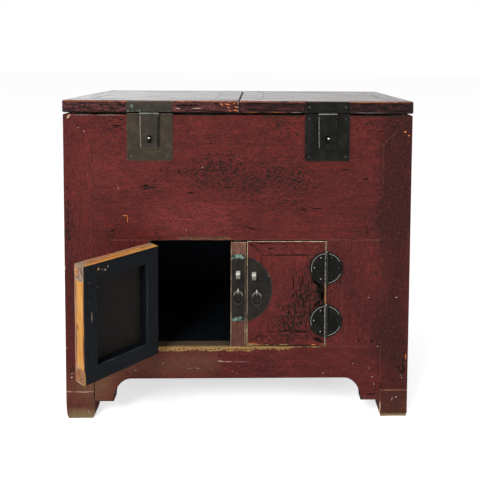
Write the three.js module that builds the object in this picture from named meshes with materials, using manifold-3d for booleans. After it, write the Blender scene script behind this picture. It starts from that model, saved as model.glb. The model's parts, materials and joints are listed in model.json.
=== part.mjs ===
// A lacquered softwood trunk cabinet: a chest under two hinged half-lids, set over a cupboard
// with a pair of doors and a lift-out centre post, all with iron furniture.
// Millimetres. X runs to the right, Y to the back and Z up. While the pieces are made, Y is zero
// on the front face of the body and Z is zero on the floor. At the end the whole part is set over
// the middle of the space that it takes up as it stands here, with its left door open.

import * as THREE from 'three';
import { mergeVertices } from 'three/addons/utils/BufferGeometryUtils.js';
import Module from 'manifold-3d';

const wasm = await Module();
wasm.setup();

// Body
const bodyWidth = 697;
const bodyDepth = 360;
const bodyHeight = 625.4;
const seatGap = 0.3; // between two pieces that touch
const cutOverrun = 4; // how far a cutter passes the faces that it cuts
const edgeEase = 2; // worn bevel along the lid seam

// Legs
const legWidth = 57;
const legDepth = 40;
const soleBevelWidth = 2.5;
const soleBevelHeight = 8;
const scoreHeight = 55.7; // scored line round the front of both front legs
const scoreDepth = 0.9;

// Front
const topRailHeight = 61.8;
const frontBoardThickness = 24;
const openingTop = 368.6; // lower edge of the upper front board
const sillHeight = 148; // top of the apron and of the cupboard floor
const doorwayShare = 0.61166; // from the middle to the hinge pins, against the way to a leg
const jambWidth = 32.6;
const frontPanelThickness = 14;
const apronBottom = 82;
const bracketBottom = 35;
const bracketFlatWidth = 39.5; // level underside of a bracket, next to its leg
const bracketCurveWidth = 35; // from there to the end of the curve

// Sides, back and floors
const railThickness = 24;
const lowRailHeight = 53;
const panelThickness = 12;
const panelInset = 3; // how far a panel lies behind the face of its legs
const floorThickness = 14;
const trunkFloorLift = 3; // trunk floor above the top of the door opening

// Doors
const doorHingeGap = 0.6; // from the pin line to the door, and to the jamb
const doorPostGap = 2.4;
const doorTopGap = 2.3;
const doorBottomGap = 1.6;
const doorThickness = 28.6;
const doorEdgeBevel = 2.2; // planed off the free edge at the back, to pass the post
const doorRailWidth = 29.5;
const doorPanelThickness = 12;
const panelTongue = 5; // how far a door panel reaches into its frame's groove
const panelTongueThickness = 5;
const panelTongueInset = 3.5; // from the outer face of the panel to its tongue
const leftDoorOpenDegrees = 135;

// Centre post
const postWidth = 30;
const postHeadGap = 4.3; // shoulder below the board, so that the post can be lifted
const postFootTenon = 3;
const postHeadGrip = 8; // how far the head tenon sits in its mortise
const postLift = 3.5;
const tenonWidth = 16;
const tenonThickness = 9;
const tenonClearance = 0.5;

// Lids
const lidThickness = 24.3;
const lidSideOverhang = 1.5;
const lidFrontOverhang = 3;
const lidMiddleGap = 1;
const lidRailWidth = 50;
const lidPanelThickness = 12;
const lidPanelLip = 8; // ledge of the frame that carries the panel
const lidCornerRadius = 6;

// Iron plate, pins and nails
const plateThickness = 1.8;
const nailRadius = 2.6;
const nailHeight = 0.9;
const nailTopShare = 0.55; // top of a nail head against its foot
const pinClearance = 0.3;
const knuckleGap = 0.4; // between two knuckles on one pin

// Round door hinges
const doorHingeRadius = 34;
const lowerHingeInset = 52.4; // from the door's end to the middle of the hinge
const upperHingeInset = 55.3;
const doorKnuckleRadius = 3.75;
const doorPinRadius = 1.8;
const doorPinProud = 1.4;
const doorHingeRelief = 0.8; // between a leaf and the other leaf's knuckle
const doorHingeNailShare = 0.71; // nails' distance from the pin against the leaf's radius
const doorHingeNailDegrees = [-63, 0, 63];

// Lid hinges on the back
const lidHingeInset = 82; // from each side of a lid to the middle of its hinge
const lidHingeWidth = 60;
const lidHingeBodyHeight = 45;
const lidHingeLidHeight = 20.5;
const lidHingeMiddleWidth = 26;
const lidHingeNailInset = 8;

// Round face plate in three parts, with its lock staples and ring pulls
const facePlateRadius = 69;
const facePlateLift = 13; // middle of the plate above the middle of the doors
const facePlateEdgeGap = 1; // from the door's edge to its part of the plate
const facePlateNailInset = 7;
const facePlateDrop = 2.5; // the right door hangs a little low
const stapleLift = 28; // above the middle of the plate
const stapleLoop = 15;
const stapleWidth = 8.5;
const stapleReach = 12;
const stapleStrap = 2.5;
const doorStapleFromMiddle = 32;
const eyeDrop = 6; // below the middle of the plate
const eyeRadius = 4;
const eyeWireRadius = 1.25;
const eyeRise = 2.5; // middle of the eye, and of the ring's wire in it, in front of the plate
const doorEyeFromMiddle = 37.6;
const ringWidth = 22.5;
const ringLength = 30;
const ringWireRadius = 1.5;

// Hasps
const haspOffset = 1.75; // outwards from the middle of the lid
const haspWidth = 90;
const haspBodyHeight = 94;
const haspBodyDrop = 1.4; // below the top of the body
const haspLidHeight = 20.5;
const haspLidDrop = 1.3; // below the top of the lid
const haspNailInset = 8.5;
const haspKnuckleRadius = 2.6;
const haspPinRadius = 1.3;
const haspPinLift = 0.6; // above the top of the body
const haspMiddleWidth = 14; // the lid plate's own knuckle, between the two of the tongue
const tongueTopWidth = 38;
const tongueTipWidth = 35.6;
const tongueLength = 71.5;
const tongueThickness = 2.2;
const tongueTipRadius = 3;
const tongueRise = 1.4; // in front of the body plate
const tongueRibWidth = 2.4;
const tongueRibHeight = 1.2;
const tongueRibTop = 7; // below the pin
const slotWidth = 10;
const slotLength = 14;
const slotDrop = 52.3; // middle of the slot below the pin
const haspStapleLoop = 10.5;
const haspStapleWidth = 5.5;
const haspStapleReach = 13;
const haspStapleStrap = 2.2;

// Round shapes
const discSteps = 40;
const knuckleSides = 16;
const pinSides = 12;
const nailSides = 6;
const arcSteps = 10;
const ringSteps = 24;
const wireSides = 8;
const eyeSteps = 14;
const eyeSides = 6;
const weldDistance = 1e-4;

// Materials
const lacquer = (color, roughness) => new THREE.MeshStandardMaterial({ color, roughness, metalness: 0 });
const iron = (color, roughness) => new THREE.MeshStandardMaterial({ color, roughness, metalness: 0.8 });
const redLacquer = lacquer('#6b3030', 0.45);
const fadedLacquer = lacquer('#7d5147', 0.55);
const lidLacquer = lacquer('#4a2527', 0.3);
const bareWood = lacquer('#7a5f42', 0.8);
const plateIron = iron('#46413a', 0.5);
const blackIron = iron('#232320', 0.45);

// Places that follow from the sizes
const halfBody = bodyWidth / 2;
const legInner = halfBody - legWidth;
const hingeLine = legInner * doorwayShare; // from the middle of the cabinet to a door's hinge pins
const jambInner = hingeLine + doorHingeGap;
const jambOuter = jambInner + jambWidth;
const railBottom = bodyHeight - topRailHeight;
const sideRange = (side, near, far) => (side > 0 ? [near, far] : [-far, -near]);
const sides = [[-1, 'left'], [1, 'right']];
const squareDiagonal = Math.sqrt(2); // against the side of the square

// Solids

function toSolid(geometry) {
  const bare = geometry.clone();
  bare.deleteAttribute('normal');
  bare.deleteAttribute('uv');
  const welded = mergeVertices(bare, weldDistance);
  return new wasm.Manifold(new wasm.Mesh({
    numProp: 3,
    vertProperties: new Float32Array(welded.attributes.position.array),
    triVerts: new Uint32Array(welded.index.array),
  }));
}

function toGeometry(solid) {
  const { numProp, vertProperties, triVerts } = solid.getMesh();
  const geometry = new THREE.BufferGeometry();
  geometry.setAttribute('position', new THREE.BufferAttribute(vertProperties, numProp));
  geometry.setIndex(new THREE.BufferAttribute(triVerts, 1));
  geometry.computeVertexNormals();
  return geometry;
}

function join(first, ...others) {
  return others.reduce((solid, other) => solid.add(toSolid(other)), toSolid(first));
}

function cut(solid, ...cutters) {
  return cutters.reduce((rest, cutter) => rest.subtract(toSolid(cutter)), solid);
}

function block([x0, x1], [y0, y1], [z0, z1]) {
  const geometry = new THREE.BoxGeometry(x1 - x0, y1 - y0, z1 - z0);
  return geometry.translate((x0 + x1) / 2, (y0 + y1) / 2, (z0 + z1) / 2);
}

// A bar along X, square in section and turned 45 degrees, that bevels an edge at [y, z].
function bevelBar(length, bevel, y, z) {
  const geometry = new THREE.BoxGeometry(length, bevel * squareDiagonal, bevel * squareDiagonal);
  return geometry.rotateX(Math.PI / 4).translate(0, y, z);
}

// An outline in X and Z, run back from y = 0.
function prism(shape, depth, curveSegments = arcSteps) {
  const geometry = new THREE.ExtrudeGeometry(shape, { depth, bevelEnabled: false, curveSegments });
  return geometry.rotateX(Math.PI / 2).translate(0, depth, 0);
}

function outline(points) {
  return new THREE.Shape(points.map(([x, z]) => new THREE.Vector2(x, z)));
}

function rod(radius, length, segments) {
  return new THREE.CylinderGeometry(radius, radius, length, segments);
}

const rodAlongX = (radius, [x0, x1], segments) => (
  rod(radius, x1 - x0, segments).rotateZ(Math.PI / 2).translate((x0 + x1) / 2, 0, 0));

const rodAlongZ = (radius, [z0, z1], segments) => (
  rod(radius, z1 - z0, segments).rotateX(Math.PI / 2).translate(0, 0, (z0 + z1) / 2));

// A low nail head whose foot lies on the face y and which stands out towards the front.
function nail(x, y, z) {
  const geometry = new THREE.CylinderGeometry(
    nailRadius * nailTopShare, nailRadius, nailHeight + plateThickness / 2, nailSides);
  return geometry.rotateX(Math.PI).translate(x, y - (nailHeight - plateThickness / 2) / 2, z);
}

// A strap bent into a loop that stands out of the face y, with its hole along X.
function stapleStrapLoop(loop, width, reach, strap, y, z) {
  const outer = loop / 2;
  const inner = outer - strap;
  const straight = reach - outer;
  const foot = -plateThickness / 2;
  const shape = new THREE.Shape();
  shape.moveTo(foot, -outer);
  shape.lineTo(straight, -outer);
  shape.absarc(straight, 0, outer, -Math.PI / 2, Math.PI / 2);
  shape.lineTo(foot, outer);
  shape.lineTo(foot, inner);
  shape.lineTo(straight, inner);
  shape.absarc(straight, 0, inner, Math.PI / 2, -Math.PI / 2, true);
  shape.lineTo(foot, -inner);
  const geometry = new THREE.ExtrudeGeometry(
    shape, { depth: width, bevelEnabled: false, curveSegments: arcSteps });
  const out = new THREE.Vector3(0, -1, 0);
  const up = new THREE.Vector3(0, 0, 1);
  const along = new THREE.Vector3().crossVectors(out, up);
  geometry.translate(0, 0, -width / 2);
  return geometry.applyMatrix4(new THREE.Matrix4().makeBasis(out, up, along)).translate(0, y, z);
}

// Pieces

function addPiece(parent, name, material, shape, place = [0, 0, 0]) {
  const geometry = shape.isBufferGeometry ? shape : toGeometry(shape);
  const mesh = new THREE.Mesh(geometry, material);
  mesh.name = name;
  mesh.position.set(...place);
  parent.add(mesh);
}

function addBoard(parent, name, material, x, y, z) {
  const ranges = [x, y, z];
  const [width, depth, height] = ranges.map(([low, high]) => high - low);
  const middle = ranges.map(([low, high]) => (low + high) / 2);
  addPiece(parent, name, material, new THREE.BoxGeometry(width, depth, height), middle);
}

function addGroup(parent, name, place) {
  const group = new THREE.Group();
  group.name = name;
  group.position.set(...place);
  parent.add(group);
  return group;
}

// Legs, with their heads mitred to the top rails in front view

function leg(side, front) {
  const [inner, outer] = [side * legInner, side * halfBody];
  const shape = outline([
    [inner + side * soleBevelWidth, 0],
    [outer - side * soleBevelWidth, 0],
    [outer, soleBevelHeight],
    [outer, bodyHeight - seatGap],
    [inner, railBottom - seatGap],
    [inner, soleBevelHeight],
  ]);
  const solid = join(prism(shape, legDepth));
  const score = bevelBar(legWidth + cutOverrun, scoreDepth, 0, scoreHeight);
  return front ? cut(solid, score.translate((inner + outer) / 2, 0, 0)) : solid;
}

function addLegs(parent) {
  for (const [side, name] of sides) {
    addPiece(parent, `${name}_front_leg`, redLacquer, leg(side, true));
    addPiece(parent, `${name}_back_leg`, redLacquer, leg(side, false), [0, bodyDepth - legDepth, 0]);
  }
}

// Front rail, boards, jambs and apron

function mitredRail() {
  return prism(outline([
    [-halfBody, bodyHeight],
    [halfBody, bodyHeight],
    [legInner, railBottom],
    [-legInner, railBottom],
  ]), legDepth);
}

function apronShape() {
  const flatEnd = legInner - bracketFlatWidth;
  const curveEnd = flatEnd - bracketCurveWidth;
  const rise = apronBottom - bracketBottom;
  const shape = new THREE.Shape();
  shape.moveTo(-legInner + seatGap, sillHeight);
  shape.lineTo(-legInner + seatGap, bracketBottom);
  shape.lineTo(-flatEnd, bracketBottom);
  shape.absellipse(-curveEnd, bracketBottom, bracketCurveWidth, rise, Math.PI, Math.PI / 2, true);
  shape.lineTo(curveEnd, apronBottom);
  shape.absellipse(curveEnd, bracketBottom, bracketCurveWidth, rise, Math.PI / 2, 0, true);
  shape.lineTo(legInner - seatGap, bracketBottom);
  shape.lineTo(legInner - seatGap, sillHeight);
  return shape;
}

// The mortise for one of the post's tenons, from z to the far side of the edge that it opens in.
function mortise(z0, z1) {
  const half = tenonWidth / 2 + tenonClearance;
  const y0 = (frontBoardThickness - tenonThickness) / 2 - tenonClearance;
  return block([-half, half], [y0, y0 + tenonThickness + 2 * tenonClearance], [z0, z1]);
}

function addFront(parent) {
  const easedRail = cut(join(mitredRail()), bevelBar(bodyWidth + cutOverrun, edgeEase, 0, bodyHeight));
  addPiece(parent, 'front_top_rail', redLacquer, easedRail);

  const boardEnd = legInner - seatGap;
  const headDepth = postHeadGrip + postLift + tenonClearance;
  const board = block([-boardEnd, boardEnd], [0, frontBoardThickness], [openingTop, railBottom - seatGap]);
  addPiece(parent, 'upper_front_board', redLacquer,
    cut(join(board), mortise(openingTop - cutOverrun, openingTop + headDepth)));

  const footDepth = postFootTenon + tenonClearance;
  addPiece(parent, 'apron', redLacquer, cut(join(prism(apronShape(), frontBoardThickness)),
    mortise(sillHeight - footDepth, sillHeight + cutOverrun)));

  const height = [sillHeight + seatGap, openingTop - seatGap];
  for (const [side, name] of sides) {
    addBoard(parent, `${name}_jamb`, redLacquer,
      sideRange(side, jambInner, jambOuter), [0, doorThickness], height);
    addBoard(parent, `${name}_front_panel`, redLacquer,
      sideRange(side, jambOuter + seatGap, legInner - seatGap), [0, frontPanelThickness], height);
  }
}

// Sides and back

function addSides(parent) {
  const y = [legDepth + seatGap, bodyDepth - legDepth - seatGap];
  const panelOuter = halfBody - panelInset;
  for (const [side, name] of sides) {
    addBoard(parent, `${name}_side_top_rail`, redLacquer,
      sideRange(side, halfBody - railThickness, halfBody), y, [railBottom, bodyHeight]);
    addBoard(parent, `${name}_side_panel`, redLacquer,
      sideRange(side, panelOuter - panelThickness, panelOuter), y,
      [sillHeight + seatGap, railBottom - seatGap]);
    addBoard(parent, `${name}_side_low_rail`, redLacquer,
      sideRange(side, halfBody - railThickness, halfBody), y, [sillHeight - lowRailHeight, sillHeight]);
  }
}

function addBack(parent) {
  const x = [-legInner + seatGap, legInner - seatGap];
  addPiece(parent, 'back_top_rail', redLacquer, mitredRail(), [0, bodyDepth - legDepth, 0]);
  addBoard(parent, 'back_panel', bareWood, x,
    [bodyDepth - panelInset - panelThickness, bodyDepth - panelInset],
    [sillHeight + seatGap, railBottom - seatGap]);
  addBoard(parent, 'back_low_rail', redLacquer, x,
    [bodyDepth - railThickness, bodyDepth], [sillHeight - lowRailHeight, sillHeight]);
}

// Floor boards, cut out round the four legs

function floorBoard(halfWidth, front, back) {
  const neck = legInner - seatGap;
  const notchFront = legDepth + seatGap;
  const notchBack = bodyDepth - legDepth - seatGap;
  const shape = outline([
    [-neck, front], [neck, front], [neck, notchFront], [halfWidth, notchFront],
    [halfWidth, notchBack], [neck, notchBack], [neck, back], [-neck, back],
    [-neck, notchBack], [-halfWidth, notchBack], [-halfWidth, notchFront], [-neck, notchFront],
  ]);
  return new THREE.ExtrudeGeometry(shape, { depth: floorThickness, bevelEnabled: false });
}

function addFloors(parent) {
  const front = frontBoardThickness + seatGap;
  addPiece(parent, 'trunk_floor', bareWood,
    floorBoard(halfBody - panelInset - panelThickness - seatGap, front,
      bodyDepth - panelInset - panelThickness - seatGap),
    [0, 0, openingTop + trunkFloorLift]);
  addPiece(parent, 'cupboard_floor', bareWood,
    floorBoard(halfBody - railThickness - seatGap, front, bodyDepth - railThickness - seatGap),
    [0, 0, sillHeight - floorThickness]);
}

// Half-lids: a frame with a panel let in flush from above. Their group lies on the hinge pins.

const lidKnuckleRadius = doorKnuckleRadius;
const lidAxis = [bodyDepth + seatGap + lidKnuckleRadius, bodyHeight + seatGap / 2];
const lidBottom = seatGap / 2;
const lidTop = lidBottom + lidThickness;
const lidFront = -lidFrontOverhang - lidAxis[0];
const lidBack = bodyDepth - lidAxis[0];
const lidOuter = halfBody + lidSideOverhang;
const lidInner = lidMiddleGap / 2;

function lidBlock(side) {
  const turned = (angle) => (side > 0 ? angle : Math.PI - angle);
  const cornerX = side * (lidOuter - lidCornerRadius);
  const shape = new THREE.Shape();
  shape.moveTo(side * lidInner, lidFront);
  shape.lineTo(cornerX, lidFront);
  shape.absarc(cornerX, lidFront + lidCornerRadius, lidCornerRadius,
    turned(-Math.PI / 2), turned(0), side < 0);
  shape.lineTo(side * lidOuter, lidBack - lidCornerRadius);
  shape.absarc(cornerX, lidBack - lidCornerRadius, lidCornerRadius,
    turned(0), turned(Math.PI / 2), side < 0);
  shape.lineTo(side * lidInner, lidBack);
  const geometry = new THREE.ExtrudeGeometry(shape, {
    depth: lidThickness - 2 * edgeEase,
    bevelThickness: edgeEase,
    bevelSize: edgeEase,
    bevelOffset: -edgeEase,
    bevelSegments: 1,
    curveSegments: arcSteps / 2,
  });
  return geometry.translate(0, 0, lidBottom + edgeEase);
}

function addLid(parent, side, name) {
  const group = addGroup(parent, `${name}_lid_group`, [0, ...lidAxis]);
  const hole = (inset, z) => block(
    sideRange(side, lidInner + lidRailWidth + inset, lidOuter - lidRailWidth - inset),
    [lidFront + lidRailWidth + inset, lidBack - lidRailWidth - inset], z);
  const panelBottom = lidTop - lidPanelThickness;
  addPiece(group, `${name}_lid_frame`, lidLacquer, cut(join(lidBlock(side)),
    hole(0, [panelBottom - seatGap, lidTop + cutOverrun]),
    hole(lidPanelLip, [lidBottom - cutOverrun, lidTop])));
  addPiece(group, `${name}_lid_panel`, lidLacquer, hole(seatGap, [panelBottom, lidTop]));
  return group;
}

// Lid hinges: a plate on the back of the lid and one on the back of the body, on one pin.
// The pin is the origin, and is fixed in the two outer knuckles of the body's plate.

function lidHingeLeaf(onLid) {
  const half = lidHingeWidth / 2;
  const middle = lidHingeMiddleWidth / 2;
  const face = -lidKnuckleRadius;
  const y = [face, face + plateThickness];
  const height = onLid ? lidHingeLidHeight : lidHingeBodyHeight;
  const up = onLid ? 1 : -1;
  const nailHeights = onLid ? [height / 2] : [height / 2, height - lidHingeNailInset];
  const nails = nailHeights.flatMap((z) => [-1, 1].map((end) => (
    nail(end * (half - lidHingeNailInset), 0, 0).rotateX(Math.PI)
      .translate(0, face + plateThickness, up * z))));
  const plate = block([-half, half], y, sideRange(up, 0, height));
  const relief = lidKnuckleRadius + doorHingeRelief;
  const clearing = (x) => block(x, [face - cutOverrun, relief], sideRange(up, -cutOverrun, relief));
  if (onLid) {
    const knuckle = rodAlongX(lidKnuckleRadius, [-middle, middle], knuckleSides);
    const outer = middle + knuckleGap;
    const plain = cut(join(plate, ...nails), clearing([-half - cutOverrun, -middle]),
      clearing([middle, half + cutOverrun]));
    const bore = rodAlongX(doorPinRadius + pinClearance, [-outer, outer], pinSides);
    return cut(plain.add(toSolid(knuckle)), bore);
  }
  const inner = middle + knuckleGap;
  const plain = cut(join(plate, ...nails), clearing([-inner, inner]));
  const fixed = join(rodAlongX(lidKnuckleRadius, [-half, -inner], knuckleSides),
    rodAlongX(lidKnuckleRadius, [inner, half], knuckleSides),
    rodAlongX(doorPinRadius, [-half + knuckleGap, half - knuckleGap], pinSides));
  return plain.add(fixed);
}

function addLidHinges(body, lid, side, name) {
  [lidInner + lidHingeInset, lidOuter - lidHingeInset].forEach((place, index) => {
    const label = `${name}_lid_${index ? 'outer' : 'inner'}_hinge`;
    addPiece(lid, `${label}_lid_leaf`, blackIron, lidHingeLeaf(true), [side * place, 0, 0]);
    addPiece(body, `${label}_body_leaf`, blackIron, lidHingeLeaf(false), [side * place, ...lidAxis]);
  });
}

// Hasps: a plate on the lid's front edge, a tongue that hangs from it, and a plate with a staple
// on the body. The tongue's group lies on its pin.

const haspAxisY = -lidFrontOverhang - seatGap - haspKnuckleRadius;
const haspAxisHeight = bodyHeight + haspPinLift;
const haspLidTop = lidAxis[1] + lidTop - haspLidDrop - haspAxisHeight;
const haspLidBottom = haspLidTop - haspLidHeight;
const haspBodyTop = bodyHeight - haspBodyDrop;
const haspBodyBottom = haspBodyTop - haspBodyHeight;

function haspLidPlate() {
  const half = haspWidth / 2;
  const middle = haspMiddleWidth / 2;
  const pinEnd = tongueTopWidth / 2 - knuckleGap;
  const y = [haspKnuckleRadius - plateThickness, haspKnuckleRadius];
  const clear = tongueTopWidth / 2 + knuckleGap;
  const relief = haspKnuckleRadius + knuckleGap;
  const nailZ = (haspLidBottom + haspLidTop) / 2;
  const nails = [-1, 1].map((end) => nail(end * (half - haspNailInset), y[0], nailZ));
  const plain = cut(join(block([-half, half], y, [haspLidBottom, haspLidTop]), ...nails),
    block([-clear, clear], [-relief, relief], [-relief, relief]));
  return plain.add(join(block([-middle, middle], y, [0, haspLidTop]),
    rodAlongX(haspKnuckleRadius, [-middle, middle], knuckleSides),
    rodAlongX(haspPinRadius, [-pinEnd, pinEnd], pinSides)));
}

function tongue() {
  const front = -seatGap - plateThickness - tongueRise - tongueThickness - haspAxisY;
  const tip = tongueTipWidth / 2;
  const top = tongueTopWidth / 2;
  const shape = new THREE.Shape();
  shape.moveTo(-top, 0);
  shape.lineTo(-tip, -tongueLength + tongueTipRadius);
  shape.absarc(-tip + tongueTipRadius, -tongueLength + tongueTipRadius, tongueTipRadius,
    Math.PI, Math.PI * 1.5);
  shape.absarc(tip - tongueTipRadius, -tongueLength + tongueTipRadius, tongueTipRadius,
    -Math.PI / 2, 0);
  shape.lineTo(top, 0);
  const plate = prism(shape, tongueThickness, arcSteps / 2).translate(0, front, 0);
  const ribs = [-1, 1].map((end) => prism(outline([
    [end * top, -tongueRibTop],
    [end * (top - tongueRibWidth), -tongueRibTop],
    [end * (tip - tongueRibWidth), -tongueLength + tongueTipRadius],
    [end * tip, -tongueLength + tongueTipRadius],
  ]), tongueRibHeight + tongueThickness / 2).translate(0, front - tongueRibHeight, 0));
  const inner = haspMiddleWidth / 2 + knuckleGap;
  const relief = haspKnuckleRadius + knuckleGap;
  const knuckles = [-1, 1].map((end) => (
    rodAlongX(haspKnuckleRadius, sideRange(end, inner, top), knuckleSides)));
  const slot = block([-slotWidth / 2, slotWidth / 2], [-haspStapleReach, haspStapleReach],
    [-slotDrop - slotLength / 2, -slotDrop + slotLength / 2]);
  return cut(join(plate, ...ribs, ...knuckles), slot,
    block([-inner, inner], [-relief, relief], [-relief, relief]),
    rodAlongX(haspPinRadius + pinClearance, [-top - cutOverrun, top + cutOverrun], pinSides));
}

function haspBodyPlate() {
  const half = haspWidth / 2;
  const front = -seatGap - plateThickness;
  const plate = block([-half, half], [front, -seatGap], [haspBodyBottom, haspBodyTop]);
  const nails = [haspBodyBottom + haspNailInset, haspBodyTop - haspNailInset].flatMap((z) => (
    [-1, 1].map((end) => nail(end * (half - haspNailInset), front, z))));
  return join(plate, ...nails, stapleStrapLoop(haspStapleLoop, haspStapleWidth, haspStapleReach,
    haspStapleStrap, front, haspAxisHeight - slotDrop));
}

function addHasp(body, lid, side, name) {
  const haspPlace = (lidInner + lidOuter) / 2 + haspOffset;
  const onLid = [side * haspPlace, haspAxisY - lidAxis[0], haspAxisHeight - lidAxis[1]];
  addPiece(body, `${name}_hasp_body_plate`, side < 0 ? plateIron : blackIron, haspBodyPlate(),
    [side * haspPlace, 0, 0]);
  addPiece(lid, `${name}_hasp_lid_plate`, side < 0 ? plateIron : blackIron, haspLidPlate(), onLid);
  const group = addGroup(lid, `${name}_hasp_group`, onLid);
  addPiece(group, `${name}_hasp_tongue`, side < 0 ? plateIron : blackIron, tongue());
}

// Doors: a grooved frame round a tongued panel that is flush outside and recessed inside. Their
// group lies on the hinge pins.

const pinRise = seatGap + doorKnuckleRadius; // pins in front of the body's face
const doorFree = hingeLine - postWidth / 2 - doorPostGap; // pin line to the free edge
const doorBottom = sillHeight + doorBottomGap;
const doorTop = openingTop - doorTopGap;
const facePlateHeight = (doorBottom + doorTop) / 2 + facePlateLift;
const facePlateFace = pinRise - seatGap - plateThickness; // front of a face plate, from the pins

function doorBlock(side, inset, y) {
  return block(sideRange(-side, doorHingeGap + inset, doorFree - inset), y,
    [doorBottom + inset, doorTop - inset]);
}

// The whole door in plan, with its free edge planed.
function doorSlab(side, front, back) {
  const shape = outline([
    [-side * doorHingeGap, front],
    [-side * doorFree, front],
    [-side * (doorFree - doorEdgeBevel), back],
    [-side * doorHingeGap, back],
  ]);
  const geometry = new THREE.ExtrudeGeometry(shape, { depth: doorTop - doorBottom, bevelEnabled: false });
  return geometry.translate(0, 0, doorBottom);
}

function addDoorBoards(group, side, name) {
  const front = pinRise;
  const back = pinRise + doorThickness;
  const tongueFront = front + panelTongueInset;
  const tongueBack = tongueFront + panelTongueThickness;
  const frame = cut(join(doorSlab(side, front, back)),
    doorBlock(side, doorRailWidth, [front - cutOverrun, back + cutOverrun]),
    doorBlock(side, doorRailWidth - panelTongue, [tongueFront, tongueBack]));
  const panel = join(
    doorBlock(side, doorRailWidth + seatGap, [front, front + doorPanelThickness]),
    doorBlock(side, doorRailWidth - panelTongue + seatGap, [tongueFront + seatGap, tongueBack - seatGap]));
  addPiece(group, `${name}_door_frame`, redLacquer, frame);
  addPiece(group, `${name}_door_panel`, redLacquer, panel);
}

// Half of a round hinge. Its pin is the origin, and its plate lies towards the given side. The
// jamb's leaf has the lower knuckle and the pin, and the door's leaf turns on it above.
function doorHingeLeaf(side, onDoor) {
  const end = onDoor ? side : -side;
  const face = doorKnuckleRadius - plateThickness;
  const shape = new THREE.Shape();
  shape.moveTo(0, -doorHingeRadius);
  shape.absarc(0, 0, doorHingeRadius, -Math.PI / 2, Math.PI / 2);
  const plate = prism(shape, plateThickness, discSteps / 2).translate(0, face, 0);
  const reach = doorHingeRadius * doorHingeNailShare;
  const nails = doorHingeNailDegrees.map((degrees) => {
    const angle = THREE.MathUtils.degToRad(degrees);
    return nail(reach * Math.cos(angle), face, reach * Math.sin(angle));
  });
  const relief = doorKnuckleRadius + doorHingeRelief;
  const other = block([-cutOverrun, relief], [-cutOverrun, doorKnuckleRadius + cutOverrun],
    sideRange(-end, -knuckleGap / 2, doorHingeRadius + cutOverrun));
  const knuckle = rodAlongZ(doorKnuckleRadius,
    sideRange(end, knuckleGap / 2, doorHingeRadius), knuckleSides);
  const leaf = cut(join(plate, ...nails), other).add(toSolid(knuckle));
  const bored = onDoor ? cut(leaf, rodAlongZ(doorPinRadius + pinClearance,
    sideRange(end, -knuckleGap, doorHingeRadius + cutOverrun), pinSides)) : leaf;
  const whole = onDoor ? bored : bored.add(toSolid(rodAlongZ(doorPinRadius,
    sideRange(-end, -doorHingeRadius / 2, doorHingeRadius + doorPinProud), pinSides)));
  const geometry = toGeometry(whole);
  return side > 0 ? geometry : geometry.rotateY(Math.PI);
}

function addDoorHinges(body, door, side, name) {
  [doorBottom + lowerHingeInset, doorTop - upperHingeInset].forEach((height, index) => {
    const label = `${name}_door_${index ? 'upper' : 'lower'}_hinge`;
    addPiece(door, `${label}_door_leaf`, blackIron, doorHingeLeaf(-side, true), [0, 0, height]);
    addPiece(body, `${label}_jamb_leaf`, blackIron, doorHingeLeaf(side, false),
      [side * hingeLine, -pinRise, height]);
  });
}

// Face plates with a lock staple and the eye of a ring pull. The origin is the round plate's
// middle, on its front.

function eye(x, z) {
  const wire = new THREE.TorusGeometry(eyeRadius, eyeWireRadius, eyeSides, eyeSteps);
  const reach = eyeRadius + eyeWireRadius + cutOverrun;
  return cut(join(wire.rotateY(Math.PI / 2).translate(x, -eyeRise, z)),
    block([x - reach, x + reach], [plateThickness / 2, reach], [z - reach, z + reach]));
}

function facePlate(shape, nails, stapleX, eyeX) {
  const plate = prism(shape, plateThickness, discSteps / 4);
  return join(plate, ...nails.map(([x, z]) => nail(x, 0, z)),
    stapleStrapLoop(stapleLoop, stapleWidth, stapleReach, stapleStrap, 0, stapleLift)
      .translate(stapleX, 0, 0)).add(eye(eyeX, -eyeDrop));
}

function doorFacePlate(side) {
  const inner = postWidth / 2 + doorPostGap + facePlateEdgeGap;
  const spread = Math.acos(inner / facePlateRadius);
  const turned = (angle) => (side > 0 ? angle : Math.PI - angle);
  const shape = new THREE.Shape();
  shape.moveTo(side * inner, -facePlateRadius * Math.sin(spread));
  shape.absarc(0, 0, facePlateRadius, turned(-spread), turned(spread), side < 0);
  const nailX = side * (inner + facePlateNailInset);
  const nailZ = facePlateRadius * Math.sin(spread) - facePlateNailInset;
  return facePlate(shape, [[nailX, nailZ], [nailX, -nailZ]],
    side * doorStapleFromMiddle, side * doorEyeFromMiddle);
}

function postFacePlate() {
  const spread = Math.asin((postWidth / 2 - facePlateEdgeGap) / facePlateRadius);
  const shape = new THREE.Shape();
  shape.absarc(0, 0, facePlateRadius, -Math.PI / 2 - spread, -Math.PI / 2 + spread);
  shape.absarc(0, 0, facePlateRadius, Math.PI / 2 - spread, Math.PI / 2 + spread);
  const nailZ = facePlateRadius - facePlateNailInset;
  return facePlate(shape, [[0, nailZ], [0, -nailZ]], 0, 0);
}

// A ring pull, whose group lies on the top of its wire.
function ringPull() {
  const halfWidth = ringWidth / 2 - ringWireRadius;
  const halfLength = ringLength / 2 - ringWireRadius;
  const wire = new THREE.TorusGeometry(halfWidth, ringWireRadius, wireSides, ringSteps);
  return wire.scale(1, halfLength / halfWidth, 1).rotateX(Math.PI / 2).translate(0, 0, -halfLength);
}

function addFacePlate(parent, name, plate, middle, eyeX) {
  addPiece(parent, `${name}_face_plate`, plateIron, plate, middle);
  const [x, y, z] = middle;
  const group = addGroup(parent, `${name}_ring_group`,
    [x + eyeX, y - eyeRise, z - eyeDrop]);
  addPiece(group, `${name}_ring`, plateIron, ringPull());
}

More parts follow.
